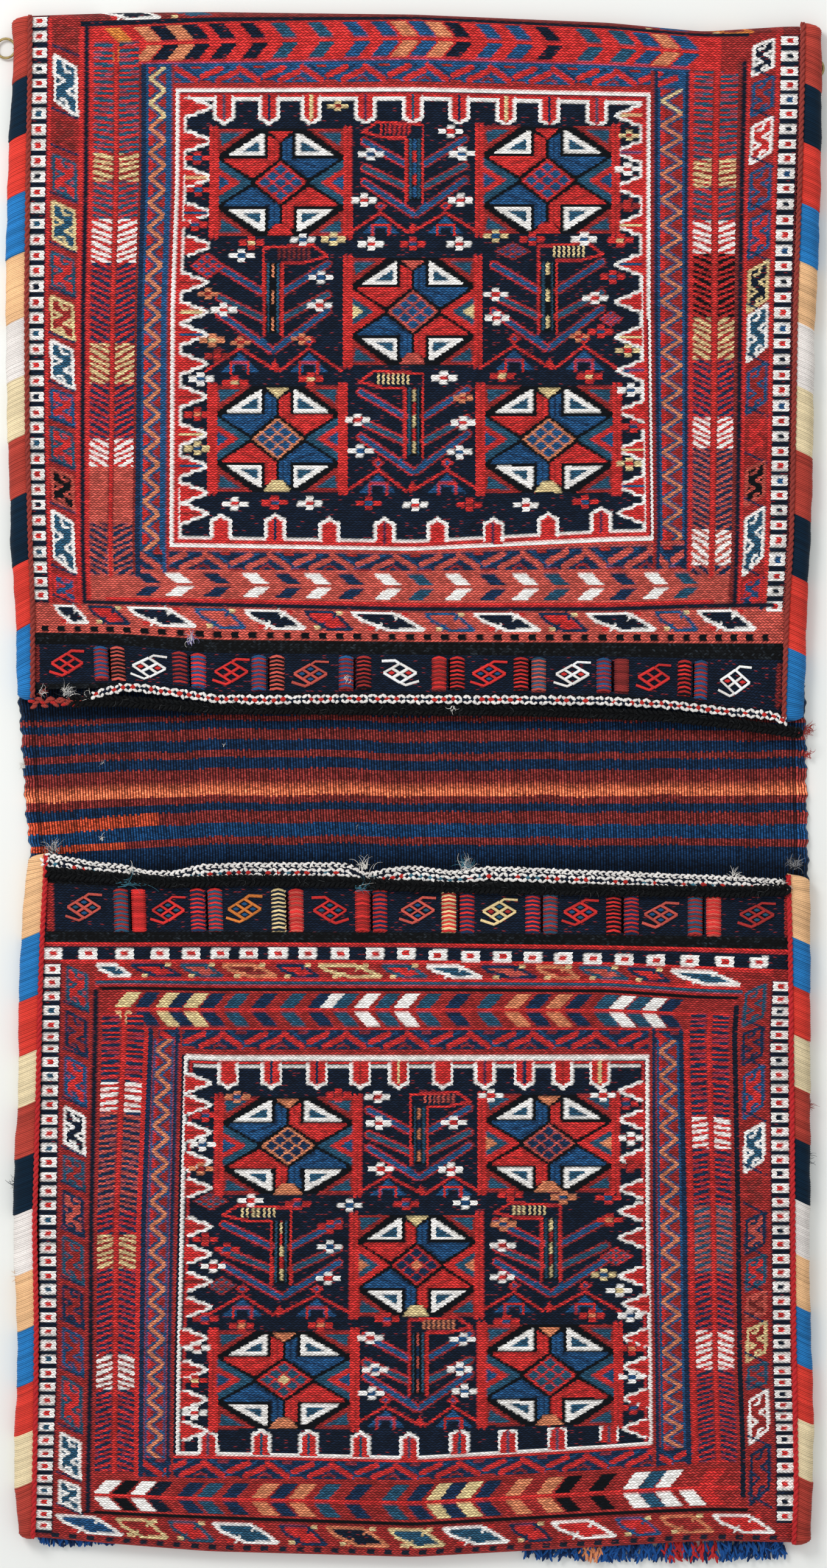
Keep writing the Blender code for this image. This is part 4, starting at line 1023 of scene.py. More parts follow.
def makeSoumakFinish():
    finish, tree, shader = startFinish("soumakWool", 0.9, 0.04)
    weave, drawn, dye, fuzz = clothInputs(tree)
    stitched = addGroup(tree, stitches, Stitch=soumak["stitch"], Lean=soumak["lean"])
    tree.links.new(weave, stitched.inputs["Weave"])
    speck = newNode(tree, "Mix", data_type="RGBA")
    speck.inputs[7].default_value = (*linear(soumak["specks"]), 1)
    tree.links.new(maths(tree, "MULTIPLY", stitched.outputs["Gap"], drawn.outputs["Alpha"]), speck.inputs[0])
    tree.links.new(drawn.outputs["Color"], speck.inputs[6])
    colour = speck.outputs[2]
    # Base colour: the yarn darkened by its painted stitch shade, then by the dye and fibre noise
    colour = tinted(tree, colour, glowing(tree, colour, stitched.outputs["Shade"]), dye, fuzz)
    tree.links.new(colour, shader.inputs["Base Color"])
    height = maths(tree, "ADD", stitched.outputs["Height"], maths(tree, "MULTIPLY", fuzz, 0.25))
    addBump(tree, shader, height, soumak["bump"], soumak["depth"])
    return finish


soumakFinish = makeSoumakFinish()


# Weft-faced plain weave: rounded warp ribs, with fine weft lines across them
def kilimFinish(name, rib):
    finish, tree, shader = startFinish(name, 0.9, 0.04)
    weave, drawn, dye, fuzz = clothInputs(tree)
    parts = newNode(tree, "SeparateXYZ")
    tree.links.new(weave, parts.inputs[0])
    across = maths(tree, "DIVIDE", parts.outputs[0], rib)
    crest = maths(tree, "ABSOLUTE", maths(tree, "SINE", maths(tree, "MULTIPLY", across, math.pi)))
    crest = maths(tree, "POWER", crest, 1.6)
    weft = maths(tree, "ADD", parts.outputs[1], maths(tree, "MULTIPLY", maths(tree, "FLOOR", across), 0.5))
    rows = maths(tree, "ABSOLUTE", maths(tree, "SINE", maths(tree, "MULTIPLY", weft, math.pi)))
    beat = newNode(tree, "CombineXYZ")
    tree.links.new(maths(tree, "FLOOR", across), beat.inputs[0])
    tree.links.new(maths(tree, "FLOOR", weft), beat.inputs[1])
    chance = newNode(tree, "TexWhiteNoise", noise_dimensions="2D")
    tree.links.new(beat.outputs[0], chance.inputs["Vector"])
    # Painted shade and highlight: dark between the ribs and the weft rows, brighter on the rib crowns, times a
    # random tone for each rib and row
    shade = maths(tree, "MULTIPLY", mapped(tree, crest, 0.0, 0.9, 0.0, 1.5),
                  mapped(tree, rows, 0.0, 0.7, 0.55, 1.12))
    shade = maths(tree, "MULTIPLY", shade, mapped(tree, chance.outputs["Value"], 0.0, 1.0, 0.5, 1.5))
    tree.links.new(tinted(tree, drawn.outputs["Color"], shade, dye, fuzz), shader.inputs["Base Color"])
    addBump(tree, shader, maths(tree, "ADD", crest, maths(tree, "MULTIPLY", rows, 0.3)), 0.7, 0.0006)
    return finish


bridgeFinish = kilimFinish("ribbedKilim", 2.0)
backFinish = kilimFinish("plainKilim", 1.0)


# Cloth: a flat grid, moved point by point to where the cloth lies.
# xs, ys and zs are arrays of rows by columns; rows run towards the top of the plan
def clothGrid(name, xs, ys, zs, finish):
    tall, wide = xs.shape
    bpy.ops.object.select_all(action="DESELECT")
    bpy.ops.mesh.primitive_grid_add(x_subdivisions=wide - 1, y_subdivisions=tall - 1, size=1)
    piece = bpy.context.object
    piece.name = name
    points = np.stack([xs, ys, zs], axis=-1).reshape(-1)
    piece.data.vertices.foreach_set("co", points)
    piece.data.materials.append(finish)
    while piece.data.uv_layers:
        piece.data.uv_layers.remove(piece.data.uv_layers[0])
    corners = np.zeros(len(piece.data.loops), int)
    piece.data.loops.foreach_get("vertex_index", corners)
    rows, cols = corners // wide, corners % wide
    weave = piece.data.uv_layers.new(name="weave")
    weave.data.foreach_set("uv", np.stack([cols, rows], axis=-1).astype(float).reshape(-1))
    bake = piece.data.uv_layers.new(name="OFBake")
    bake.data.foreach_set("uv", np.stack([cols / (wide - 1), rows / (tall - 1)], axis=-1).reshape(-1))
    piece.data.uv_layers.active = weave
    piece.data.shade_smooth()
    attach(piece, "bag")
    return piece


# Colours are rows by columns of faces, or rows, 2, columns, 2 for a colour at each corner. Ground marks the
# places whose weft shows between the rows.
def dyeCloth(piece, colours, ground):
    values = np.concatenate([colours, ground[..., None]], axis=-1)
    if values.ndim == 5:
        corners = np.zeros(len(piece.data.loops), int)
        piece.data.loops.foreach_get("vertex_index", corners)
        faces, wide = np.arange(len(corners)) // 4, values.shape[2]
        row, column = faces // wide, faces % wide
        values = values[row, corners // (wide + 1) - row, column, corners % (wide + 1) - column]
    else:
        values = np.repeat(values.reshape(-1, 4), 4, axis=0)
    dye = piece.data.color_attributes.new("dye", "FLOAT_COLOR", "CORNER")
    dye.data.foreach_set("color", values.reshape(-1))


# Gentle unevenness of cloth that lies flat, in metres
def ripple(x, y, size):
    return size * (
        np.sin(x * 17.3 + 1.1 + 3 * np.sin(y * 6.1)) * np.sin(y * 13.7 + 0.6 + 2 * np.sin(x * 7.7))
        + 0.5 * np.sin(x * 41 + 5 * np.sin(y * 11)) * np.sin(y * 37 + 2.0)
    )


clothBody = {
    "thick": 0.0127, "radius": 0.0063, "under": 0.0003, "ripple": 0.00035, "edgeDrop": 0.0006, "foldRows": 12,
    "cell": 4, "lean": 1.1, "mottle": 0.10,
}


# Plan rows of a face from its lip round its fold: (drawn at, lies at, height)
def foldedRows(lip, fold, sign):
    body = clothBody
    turn = body["radius"] / planStep
    flatEnd = fold + sign * turn
    count = int(abs(lip - flatEnd) / body["cell"])
    flat = [lip - sign * i * body["cell"] for i in range(count + 1)]
    rows = [(row, row, body["thick"]) for row in flat]
    last = rows[-1][0]
    for i in range(1, body["foldRows"] + 1):
        angle = math.pi * i / body["foldRows"]
        lies = last - sign * math.sin(angle) * abs(last - fold)
        height = body["under"] + (body["thick"] - body["under"]) * (1 + math.cos(angle)) / 2
        rows.append((last - sign * i * body["cell"], lies, height))
    return rows


def makeFace(name, plan, lip, fold, slits, slitRows):
    sign = 1 if fold < lip else -1
    body = clothBody
    rows = foldedRows(lip, fold, sign)
    if sign < 0:
        rows = rows[::-1]
    cell, wide = body["cell"], plan["x"].shape[1] // 2
    drawn = np.array([row[0] for row in rows])
    planX = np.tile(plan["left"] + np.arange(wide + 1) * cell, (len(rows), 1)).astype(float)
    planY = np.tile(np.array([row[1] for row in rows])[:, None], (1, wide + 1))
    height = np.tile(np.array([row[2] for row in rows])[:, None], (1, wide + 1))
    x, y = crept(plan["creep"], planX, planY)
    x = x + np.where(np.arange(len(rows)) % 2, body["lean"], -body["lean"])[:, None]
    x, y = toX(x), toY(y)
    middles = (drawn[1:] + drawn[:-1]) / 2
    quarters = np.stack([drawn[:-1] * 0.75 + drawn[1:] * 0.25, drawn[:-1] * 0.25 + drawn[1:] * 0.75], axis=1)
    picks = np.clip(((quarters - plan["top"]) / plan["cell"]).astype(int), 0, plan["yarn"].shape[0] - 1)
    shape = (len(rows) - 1, 2, wide, 2)
    yarn = plan["yarn"][picks.reshape(-1)].reshape(shape)
    lift = (yarnLifts[yarn] + plan["lift"][picks.reshape(-1)].reshape(shape)).mean(axis=(1, 3))
    edged = np.pad(lift, 1, mode="edge")
    corner = (edged[:-1, :-1] + edged[1:, :-1] + edged[:-1, 1:] + edged[1:, 1:]) / 4
    facing = np.clip((height - body["under"]) / (body["thick"] - body["under"]), 0, 1) ** 2
    edge = np.minimum(np.arange(wide + 1), np.arange(wide + 1)[::-1])
    droop = body["edgeDrop"] * np.exp(-edge / 3.0)
    z = height + facing * (corner + ripple(x, y, body["ripple"]) - droop[None, :])
    piece = clothGrid(name, x, y, z, soumakFinish)
    rng = np.random.default_rng(7 if sign > 0 else 8)
    mottle = 1 + body["mottle"] * (rng.random((len(rows) - 1, wide)) - 0.5)
    streak = 1 + 0.12 * (rng.random((len(rows) - 1, 1)) - 0.5)
    colours = yarnColours[yarn] * (mottle * streak)[:, None, :, None, None]
    # Painted glints: a random few goat-hair stitches are made up to six times brighter, standing in for
    # highlights on the black hair
    glint = 0.5 + 5.5 * rng.random((len(rows) - 1, 1, wide, 1, 1)) ** 4
    colours = np.where((yarn == yarnNames.index("goat"))[..., None], colours * glint, colours)
    dyeCloth(piece, colours, (yarn == yarnNames.index("navy")).astype(float))
    holes = []
    for index in range(len(middles)):
        if slitRows[0] < middles[index] < slitRows[1]:
            for slit in slits:
                column = int(round((slit[0] - plan["left"]) / cell - 0.5))
                holes.append(index * wide + column)
    cutHoles(piece, holes)
    return piece


def cutHoles(piece, holes):
    mesh = bmesh.new()
    mesh.from_mesh(piece.data)
    mesh.faces.ensure_lookup_table()
    bmesh.ops.delete(mesh, geom=[mesh.faces[i] for i in holes], context="FACES")
    mesh.to_mesh(piece.data)
    mesh.free()


upperFace = makeFace("upperFace", drawUpper(), 1148, 20, upperSlits, (1080, 1132))
lowerFace = makeFace("lowerFace", drawLower(), 1432, 2557, lowerSlits, (1466, 1528))
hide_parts("woven_strip")
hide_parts("woven_strip")
print("pouch faces woven")


# The striped bridge between the pouches, ribbed by its warps.
bridge = {
    "left": 32, "right": 1325, "rib": 4.6, "row": 2.9, "height": 0.0023, "ridge": 0.0005,
    "top": 1120, "bottom": 1460, "ripple": 0.0009, "selvedge": 0.0022, "flat": (0.534, 0.141),
    "pullLeft": ((1150, 1250, 1337, 1400), (-4, 3, 8, 15)), "pullRight": ((1180, 1430), (0, 5)),
    "stripes": (
        (1176, "navy"), (1185, "rust"), (1199, "navy"), (1217, "rust"), (1235, "navy"), (1247, "rust"),
        (1265, "navy"), (1288, "rust"), (1309, "orangeStripe"), (1321, "rust"), (1334, "navy"), (1354, "rust"),
        (1376, "indigo"), (1388, "rust"), (1600, "navy"),
    ),
    "colours": {
        "navy": (16, 44, 76), "rust": (123, 43, 41), "orangeStripe": (218, 110, 74), "indigo": (20, 60, 100),
        "bright": (184, 70, 44),
    },
}


# Colours of the bridge's stripes at places on its plan
def stripeColours(x, y):
    tones = {name: linear(tone) for name, tone in bridge["colours"].items()}
    found = np.zeros((*x.shape, 3))
    above = -1e9
    for edge, name in bridge["stripes"]:
        found[(y >= above) & (y < edge)] = tones[name]
        above = edge
    found[(x < 250) & (y >= 1334) & (y < 1354)] = tones["bright"]
    found[(x < 190) & (y >= 1376) & (y < 1388)] = tones["bright"]
    faded = ((y >= 1284) & (y < 1309))[..., None]  # rust that runs slowly into orange
    fade = np.clip((y - 1284) / 16, 0, 1)[..., None]
    found = np.where(faded, tones["rust"] * (1 - fade) + tones["orangeStripe"] * fade, found)
    # Painted highlight: a brighter line, up to 30 percent, across the orange stripe near row 1303
    glow = np.exp(-((y - 1303) / 5.0) ** 2) * ((y > 1280) & (y < 1312))
    return found * (1 + 0.3 * glow)[..., None]


def makeBridge():
    wide = int((bridge["right"] - bridge["left"]) / bridge["rib"] * 2)
    tall = int((bridge["bottom"] - bridge["top"]) / bridge["row"])
    planX = bridge["left"] + np.arange(wide + 1) * (bridge["right"] - bridge["left"]) / wide
    planY = bridge["bottom"] - np.arange(tall + 1) * (bridge["bottom"] - bridge["top"]) / tall
    x, y = np.meshgrid(planX, planY)
    seenX, seenY = crept(bridgeCreep, x, y)
    share = (x - bridge["left"]) / (bridge["right"] - bridge["left"])
    seenX = seenX + np.interp(seenY, *bridge["pullLeft"]) * (1 - share) + np.interp(seenY,
                                                                                    *bridge["pullRight"]) * share
    wave = 1.6 * np.sin(seenY * 0.17) + 1.0 * np.sin(seenY * 0.41)
    seenX = seenX + wave * (np.exp(-(1 - share) / 0.01) - np.exp(-share / 0.01))
    worldX, worldY = toX(seenX), toY(seenY)
    crest = np.where(np.arange(wide + 1) % 2, bridge["ridge"], 0.0)[None, :]
    z = bridge["height"] + crest + np.abs(ripple(worldX, worldY * 2, bridge["ripple"]))
    rim = np.minimum(np.arange(wide + 1), np.arange(wide + 1)[::-1])[None, :]
    z = z + bridge["selvedge"] * np.exp(-((rim - 4) / 3.0) ** 2)
    z = np.where(rim == 0, 0.0006, np.where(rim == 1, z - 0.0012, z))
    piece = clothGrid("bridgeCloth", worldX, worldY, z, bridgeFinish)
    midX, midY = (x[1:, 1:] + x[:-1, :-1]) / 2, (y[1:, 1:] + y[:-1, :-1]) / 2
    rng = np.random.default_rng(3)
    wander = np.convolve(rng.normal(0, 1, wide + 80), np.hanning(43) / 21, "same")[40:wide + 40] * 5.0
    step = np.where(np.arange(wide) // 2 % 2, 0.5, -0.5)
    colours = stripeColours(midX, midY + (wander + step)[None, :])
    ribs = 1 + 0.44 * (np.repeat(rng.random(wide // 2 + 1), 2)[:wide] - 0.5)
    # Painted shadow: the bridge darkens to 0.35 towards its top and bottom, where it lies under the edges of the
    # pouch mouths
    shadow = np.clip((midY - 1168) / 16, 0, 1) * np.clip((1420 - midY) / 20, 0.0, 1)
    colours = colours * ribs[None, :, None] * (1 + 0.2 * (rng.random(midX.shape) - 0.5))[..., None]
    colours = colours * (0.35 + 0.65 * shadow)[..., None]
    # Brighter selvedge yarn along both edges, and painted shade in the groove just inside it
    brink = np.minimum(np.arange(wide), np.arange(wide)[::-1])
    colours = colours * np.where(brink < 8, 1.45, np.where(brink < 10, 0.45, 1.0))[None, :, None]
    dyeCloth(piece, colours, np.zeros(midX.shape))
    return piece


bridgeCloth = makeBridge()
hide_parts("woven_strip")
print("bridge woven")


# The back and the lining: plain striped kilim, seen from behind and down the mouths.
back = {"cell": 0.0045, "height": 0.0003, "inner": 0.0022, "lining": 0.0092, "edge": 0.0045}


# A sheet that follows a profile of (plan row, height); placing gives the plan place of a share and row
def profilePiece(name, profile, columns, placing, finish, colourOf):
    rows = np.array([point[0] for point in profile], float)
    heights = np.array([point[1] for point in profile])
    share, level = np.meshgrid(columns, rows)
    planX, planY = placing(share, level)
    z = np.repeat(heights[:, None], len(columns), axis=1)
    piece = clothGrid(name, toX(planX), toY(planY), z, finish)
    middle = (rows[1:] + rows[:-1]) / 2
    tones = np.repeat(colourOf(middle)[:, None, :], len(columns) - 1, axis=1)
    rng = np.random.default_rng(len(name))
    tones = tones * (1 + 0.2 * (rng.random(tones.shape[:2]) - 0.5))[..., None]
    dyeCloth(piece, tones, np.zeros(tones.shape[:2]))
    return piece


# Broad stripes of the back, repeating the bridge's yarns
def backTones(rows):
    cycle = (("rust", 36), ("navy", 22), ("rust", 9), ("indigo", 22), ("rust", 14), ("orangeStripe", 10))
    total = sum(width for _, width in cycle)
    found = []
    for row in rows:
        place = row % total
        for name, width in cycle:
            if place < width:
                found.append(linear(bridge["colours"][name]))
                break
            place -= width
    return np.array(found)


# Painted shade: the lining, seen down the mouths inside the pouches, is the back's stripes darkened to 0.7
def shadedLiningTones(rows):
    return backTones(rows) * 0.7


backEdges = {
    "left": (
        (20, 52), (148, 50), (300, 47), (500, 45), (700, 46), (893, 51), (998, 55), (1148, 54), (1165, 34),
        (1248, 36), (1395, 48), (1404, 74), (1530, 70), (1640, 66), (1788, 63), (2011, 58), (2174, 60),
        (2308, 59), (2557, 55),
    ),
    "right": (
        (20, 1318), (148, 1316), (300, 1312), (500, 1305), (700, 1302), (893, 1298), (998, 1291), (1170, 1287),
        (1200, 1321), (1420, 1326), (1436, 1295), (1788, 1299), (2174, 1302), (2442, 1306), (2557, 1303),
    ),
}


def backPlace(share, level):
    left = np.interp(level, *zip(*backEdges["left"]))
    right = np.interp(level, *zip(*backEdges["right"]))
    drop = np.interp(left + (right - left) * share, (60, 350, 680, 1000, 1290), (0, 0, 4, 14, 22))
    bottom = np.interp(left + (right - left) * share, (60, 200, 700, 1000, 1290), (-24, -12, 2, -10, -16))
    shift = drop * np.clip((300 - level) / 280, 0, 1) + bottom * np.clip((level - 2300) / 240, 0, 1)
    return left + (right - left) * share, level + shift


def makeBack(name, start, end):
    steps = int((end - start) * planStep / back["cell"])
    profile = [(start + (end - start) * i / steps, back["height"]) for i in range(steps + 1)][::-1]
    piece = profilePiece(name, profile, np.linspace(0, 1, 117), backPlace, backFinish, backTones)
    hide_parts("woven_strip")
    return piece


def makeLining(name, lip, fold, creep, left, right, slits, slitRows):
    sign = 1 if fold < lip else -1
    turn = back["inner"] + (back["lining"] - back["inner"]) / 2
    reach = fold + sign * 24
    rows = [(lip - sign * 1.0, clothBody["thick"] - 0.0002), (lip - sign * 0.5, back["lining"])]
    near, far = sorted(slitRows, key=lambda row: abs(row - lip))
    for row in (lip - sign * 6, near, far, far - sign * 30, (far + reach) / 2, reach):
        rows.append((row, back["lining"]))
    half = (back["lining"] - back["inner"]) / 2
    for i in range(1, 6):
        angle = math.pi * i / 6
        rows.append((reach - sign * 8 * math.sin(angle), turn + half * math.cos(angle)))
    rows += [(reach, back["inner"]), ((far + reach) / 2, back["inner"]), (lip + sign * 4, back["inner"])]
    shares = set(np.linspace(0, 1, 55))
    for slit in slits:
        shares |= {(slit[0] - 4 - left) / (right - left), (slit[0] + 4 - left) / (right - left)}
    columns = np.array(sorted(shares))
    if sign < 0:
        rows = rows[::-1]
    piece = profilePiece(name, rows, columns, lambda share,
                         level: crept(creep, left + (right - left) * share, level),
                         backFinish, shadedLiningTones)
    holes = []
    middles = left + (columns[1:] + columns[:-1]) / 2 * (right - left)
    for column, x in enumerate(middles):
        if any(abs(x - slit[0]) < 4 for slit in slits):
            holes.append((3 if sign > 0 else len(rows) - 5) * (len(columns) - 1) + column)
    cutHoles(piece, holes)
    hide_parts("woven_strip")
    return piece


makeBack("upperBack", 34, 1290)
makeBack("lowerBack", 1290, 2536)
makeLining("upperLining", 1148, 20, upperCreep, 48, 1308, upperSlits, (1080, 1132))
makeLining("lowerLining", 1432, 2557, lowerCreep, 64, 1300, lowerSlits, (1466, 1528))
print("back and lining done")


# Strands: every run of yarn is a tapering tube, and all the runs of a piece are one mesh.
def yarnFinish(name, roughness=0.88, twist=1.0, turns=1.0, dark=0.5, sheen=0.05):
    finish, tree, shader = startFinish(name, roughness, sheen)
    weave, drawn, dye, fuzz = clothInputs(tree, 1400.0)
    parts = newNode(tree, "SeparateXYZ")
    tree.links.new(weave, parts.inputs[0])
    lay = maths(tree, "ADD", maths(tree, "MULTIPLY", parts.outputs[1], turns),
                maths(tree, "MULTIPLY", parts.outputs[0], twist))
    ply = maths(tree, "ABSOLUTE", maths(tree, "SINE", maths(tree, "MULTIPLY", lay, math.pi)))
    # Painted shade: darker in the grooves between the plies, down to dark, and lifted on pale yarn
    shade = glowing(tree, drawn.outputs["Color"], mapped(tree, ply, 0.0, 0.8, dark, 1.1))
    tree.links.new(tinted(tree, drawn.outputs["Color"], shade, dye, fuzz), shader.inputs["Base Color"])
    addBump(tree, shader, maths(tree, "ADD", ply, maths(tree, "MULTIPLY", fuzz, 0.4)), 0.5, 0.0004)
    return finish


woolYarn = yarnFinish("woolYarn")
goatYarn = yarnFinish("goatYarn", 0.8, sheen=0.0)
bindingYarn = yarnFinish("bindingYarn", 0.85, 0.0, 0.5, 0.36)


# A grid of points, rows by columns by three, that closes on itself; breaks are the rows that end a run
def wovenTube(name, points, breaks, colours, finish):
    tall, wide = points.shape[:2]
    piece = clothGrid(name, points[..., 0], points[..., 1], points[..., 2], finish)
    dyeCloth(piece, np.repeat(colours[:-1, None, :], wide - 1, axis=1), np.zeros((tall - 1, wide - 1)))
    cutHoles(piece, [row * (wide - 1) + i for row in breaks for i in range(wide - 1)])
    mesh = bmesh.new()
    mesh.from_mesh(piece.data)
    bmesh.ops.remove_doubles(mesh, verts=mesh.verts, dist=2e-7)
    mesh.to_mesh(piece.data)
    mesh.free()
    piece.data.shade_smooth()
    return piece


# Runs are (points, half width, half height, colour); widths may be lists, one for each point
def strands(name, runs, finish, sides=6):
    rows, breaks, tones = [], [], []
    turn = np.linspace(0, 2 * math.pi, sides + 1)
    up = np.array((0.0, 0.0, 1.0))
    for points, wide, high, colour in runs:
        points = np.array(points, float)
        along = np.gradient(points, axis=0)
        along /= np.linalg.norm(along, axis=1, keepdims=True) + 1e-12
        side = np.cross(along, up)
        side /= np.linalg.norm(side, axis=1, keepdims=True) + 1e-9
        rise = np.cross(side, along)
        wide = np.broadcast_to(np.array(wide, float), len(points))[:, None, None]
        high = np.broadcast_to(np.array(high, float), len(points))[:, None, None]
        ring = side[:, None, :] * wide * np.cos(turn)[None, :, None] + rise[:, None,
                                                                            :] * high * np.sin(turn)[None, :,
                                                                                                     None]
        rows.append(points[:, None, :] + ring)
        tones.append(np.repeat(linear(colour)[None, :], len(points), axis=0))
        breaks.append(sum(len(row) for row in rows) - 1)
    return wovenTube(name, np.concatenate(rows), breaks[:-1], np.concatenate(tones), finish)


# One stitch: a short strand with round ends, centred on a plan place
def oval(x, y, z, angle, long, wide, high, colour):
    shape = ((-1.0, 0.05), (-0.72, 0.72), (0.0, 1.0), (0.72, 0.72), (1.0, 0.05))
    cx, cy, reach = toX(x), toY(y), long / 2 * planStep
    points = [(cx + math.cos(angle) * t * reach, cy + math.sin(angle) * t * reach, z - high * 0.35 * t * t)
              for t, _ in shape]
    return (points, [r * wide / 2 * planStep for _, r in shape], [r * high for _, r in shape], colour)


# Evenly spaced plan points along a table of (x, y), with the angle at each
def pathAt(table, steps):
    xs, ys = np.array([p[0] for p in table], float), np.array([p[1] for p in table], float)
    fine = np.linspace(xs[0], xs[-1], 900)
    level = np.interp(fine, xs, ys)
    for _ in range(40):
        level[1:-1] = (level[:-2] + level[2:] + level[1:-1] * 2) / 4
    gone = np.concatenate([[0], np.cumsum(np.hypot(np.diff(fine), np.diff(level)))])
    marks = np.arange(0, gone[-1], steps)
    x, y = np.interp(marks, gone, fine), np.interp(marks, gone, level)
    return list(zip(x, y, np.arctan2(-np.gradient(y), np.gradient(x))))


# Side bindings: overcast yarns, a new colour every span, over the two layers of each side.
binding = {
    "thread": 3.0, "ridge": 0.0002, "slant": 15, "round": 12, "swell": 0.00025, "middle": 0.0070,
    "hollow": (0.0036, 0.0102, 0.0022),  # height, reach and slope of the hollow over a ring
    "section": (
        (0.0, 0.0118), (0.02, 0.0132), (0.14, 0.0139), (0.34, 0.0142), (0.54, 0.0140), (0.70, 0.0133),
        (0.83, 0.0119), (0.93, 0.0099), (0.985, 0.0077), (1.0, 0.0058), (0.985, 0.0040), (0.94, 0.0023),
        (0.85, 0.0009), (0.6, 0.0002), (0.25, 0.0002), (0.0, 0.0004),
    ),
    "colours": {
        "terracotta": (182, 66, 54), "navy": (6, 34, 54), "red": (228, 64, 52), "blue": (40, 124, 192),
        "peach": (240, 190, 140), "white": (240, 232, 226), "cream": (238, 218, 176),
    },
}
ringMiddles = []
for side in ("left", "right"):
    low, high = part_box("ring_" + side)
    ringMiddles.append(((low[0] + high[0]) / 2, (low[1] + high[1]) / 2))
windings = {
    "upper": (
        "terracotta", "navy", "red", "blue", "peach", "white", "cream", "terracotta", "navy", "red", "blue",
    ),
    "lower": (
        "peach", "blue", "red", "cream", "terracotta", "navy", "white", "peach", "blue", "red", "cream",
        "terracotta",
    ),
}
bindingSides = {
    "upper_left": {
        "spans": (24, 130, 225, 320, 420, 527, 623, 720, 815, 925, 1030, 1150),
        "outer": (
            (20, 19), (40, 17), (90, 22), (220, 13.5), (420, 8), (600, 9), (720, 11), (820, 15.6), (900, 15.6),
            (1000, 24.5), (1150, 27),
        ),
        "seam": ((20, 50), (148, 49), (300, 46), (500, 44), (700, 45), (893, 50), (998, 54), (1150, 54)),
    },
    "upper_right": {
        "spans": (36, 143, 240, 340, 435, 535, 640, 745, 850, 950, 1070, 1185),
        "outer": (
            (36, 1350), (100, 1351), (300, 1349), (480, 1343), (520, 1339), (618, 1338), (748, 1336),
            (846, 1334), (926, 1330), (980, 1327), (1069, 1325), (1185, 1321),
        ),
        "seam": (
            (36, 1318), (148, 1317), (300, 1313), (500, 1306), (700, 1303), (893, 1299), (998, 1292),
            (1150, 1287), (1187, 1287),
        ),
    },
    "lower_left": {
        "spans": (1402, 1537, 1640, 1730, 1815, 1900, 1991, 2091, 2183, 2274, 2355, 2440, 2530),
        "outer": (
            (1400, 47), (1426, 42), (1529, 34), (1640, 29), (1800, 29), (1900, 22), (1990, 20), (2085, 22),
            (2180, 27), (2270, 27), (2350, 22), (2440, 22), (2527, 30),
        ),
        "seam": (
            (1400, 76), (1440, 75), (1530, 70), (1640, 66), (1788, 63), (2011, 57), (2174, 60), (2308, 59),
            (2486, 56), (2530, 54),
        ),
    },
    "lower_right": {
        "spans": (1436, 1545, 1625, 1705, 1790, 1875, 1975, 2065, 2150, 2245, 2335, 2430, 2540),
        "outer": (
            (1435, 1331), (1540, 1332), (1970, 1332), (2060, 1330), (2150, 1332), (2245, 1335), (2335, 1338),
            (2435, 1336), (2540, 1332),
        ),
        "seam": (
            (1435, 1294), (1540, 1297), (1788, 1300), (2174, 1303), (2308, 1305), (2442, 1307), (2540, 1303),
        ),
    },
}


def softly(table, at):
    rows, values = [point[0] for point in table], [point[1] for point in table]
    fine = np.linspace(rows[0], rows[-1], 300)
    level = np.interp(fine, rows, values)
    for _ in range(30):
        level[1:-1] = (level[:-2] + level[2:] + level[1:-1] * 2) / 4
    return np.interp(at, fine, level)


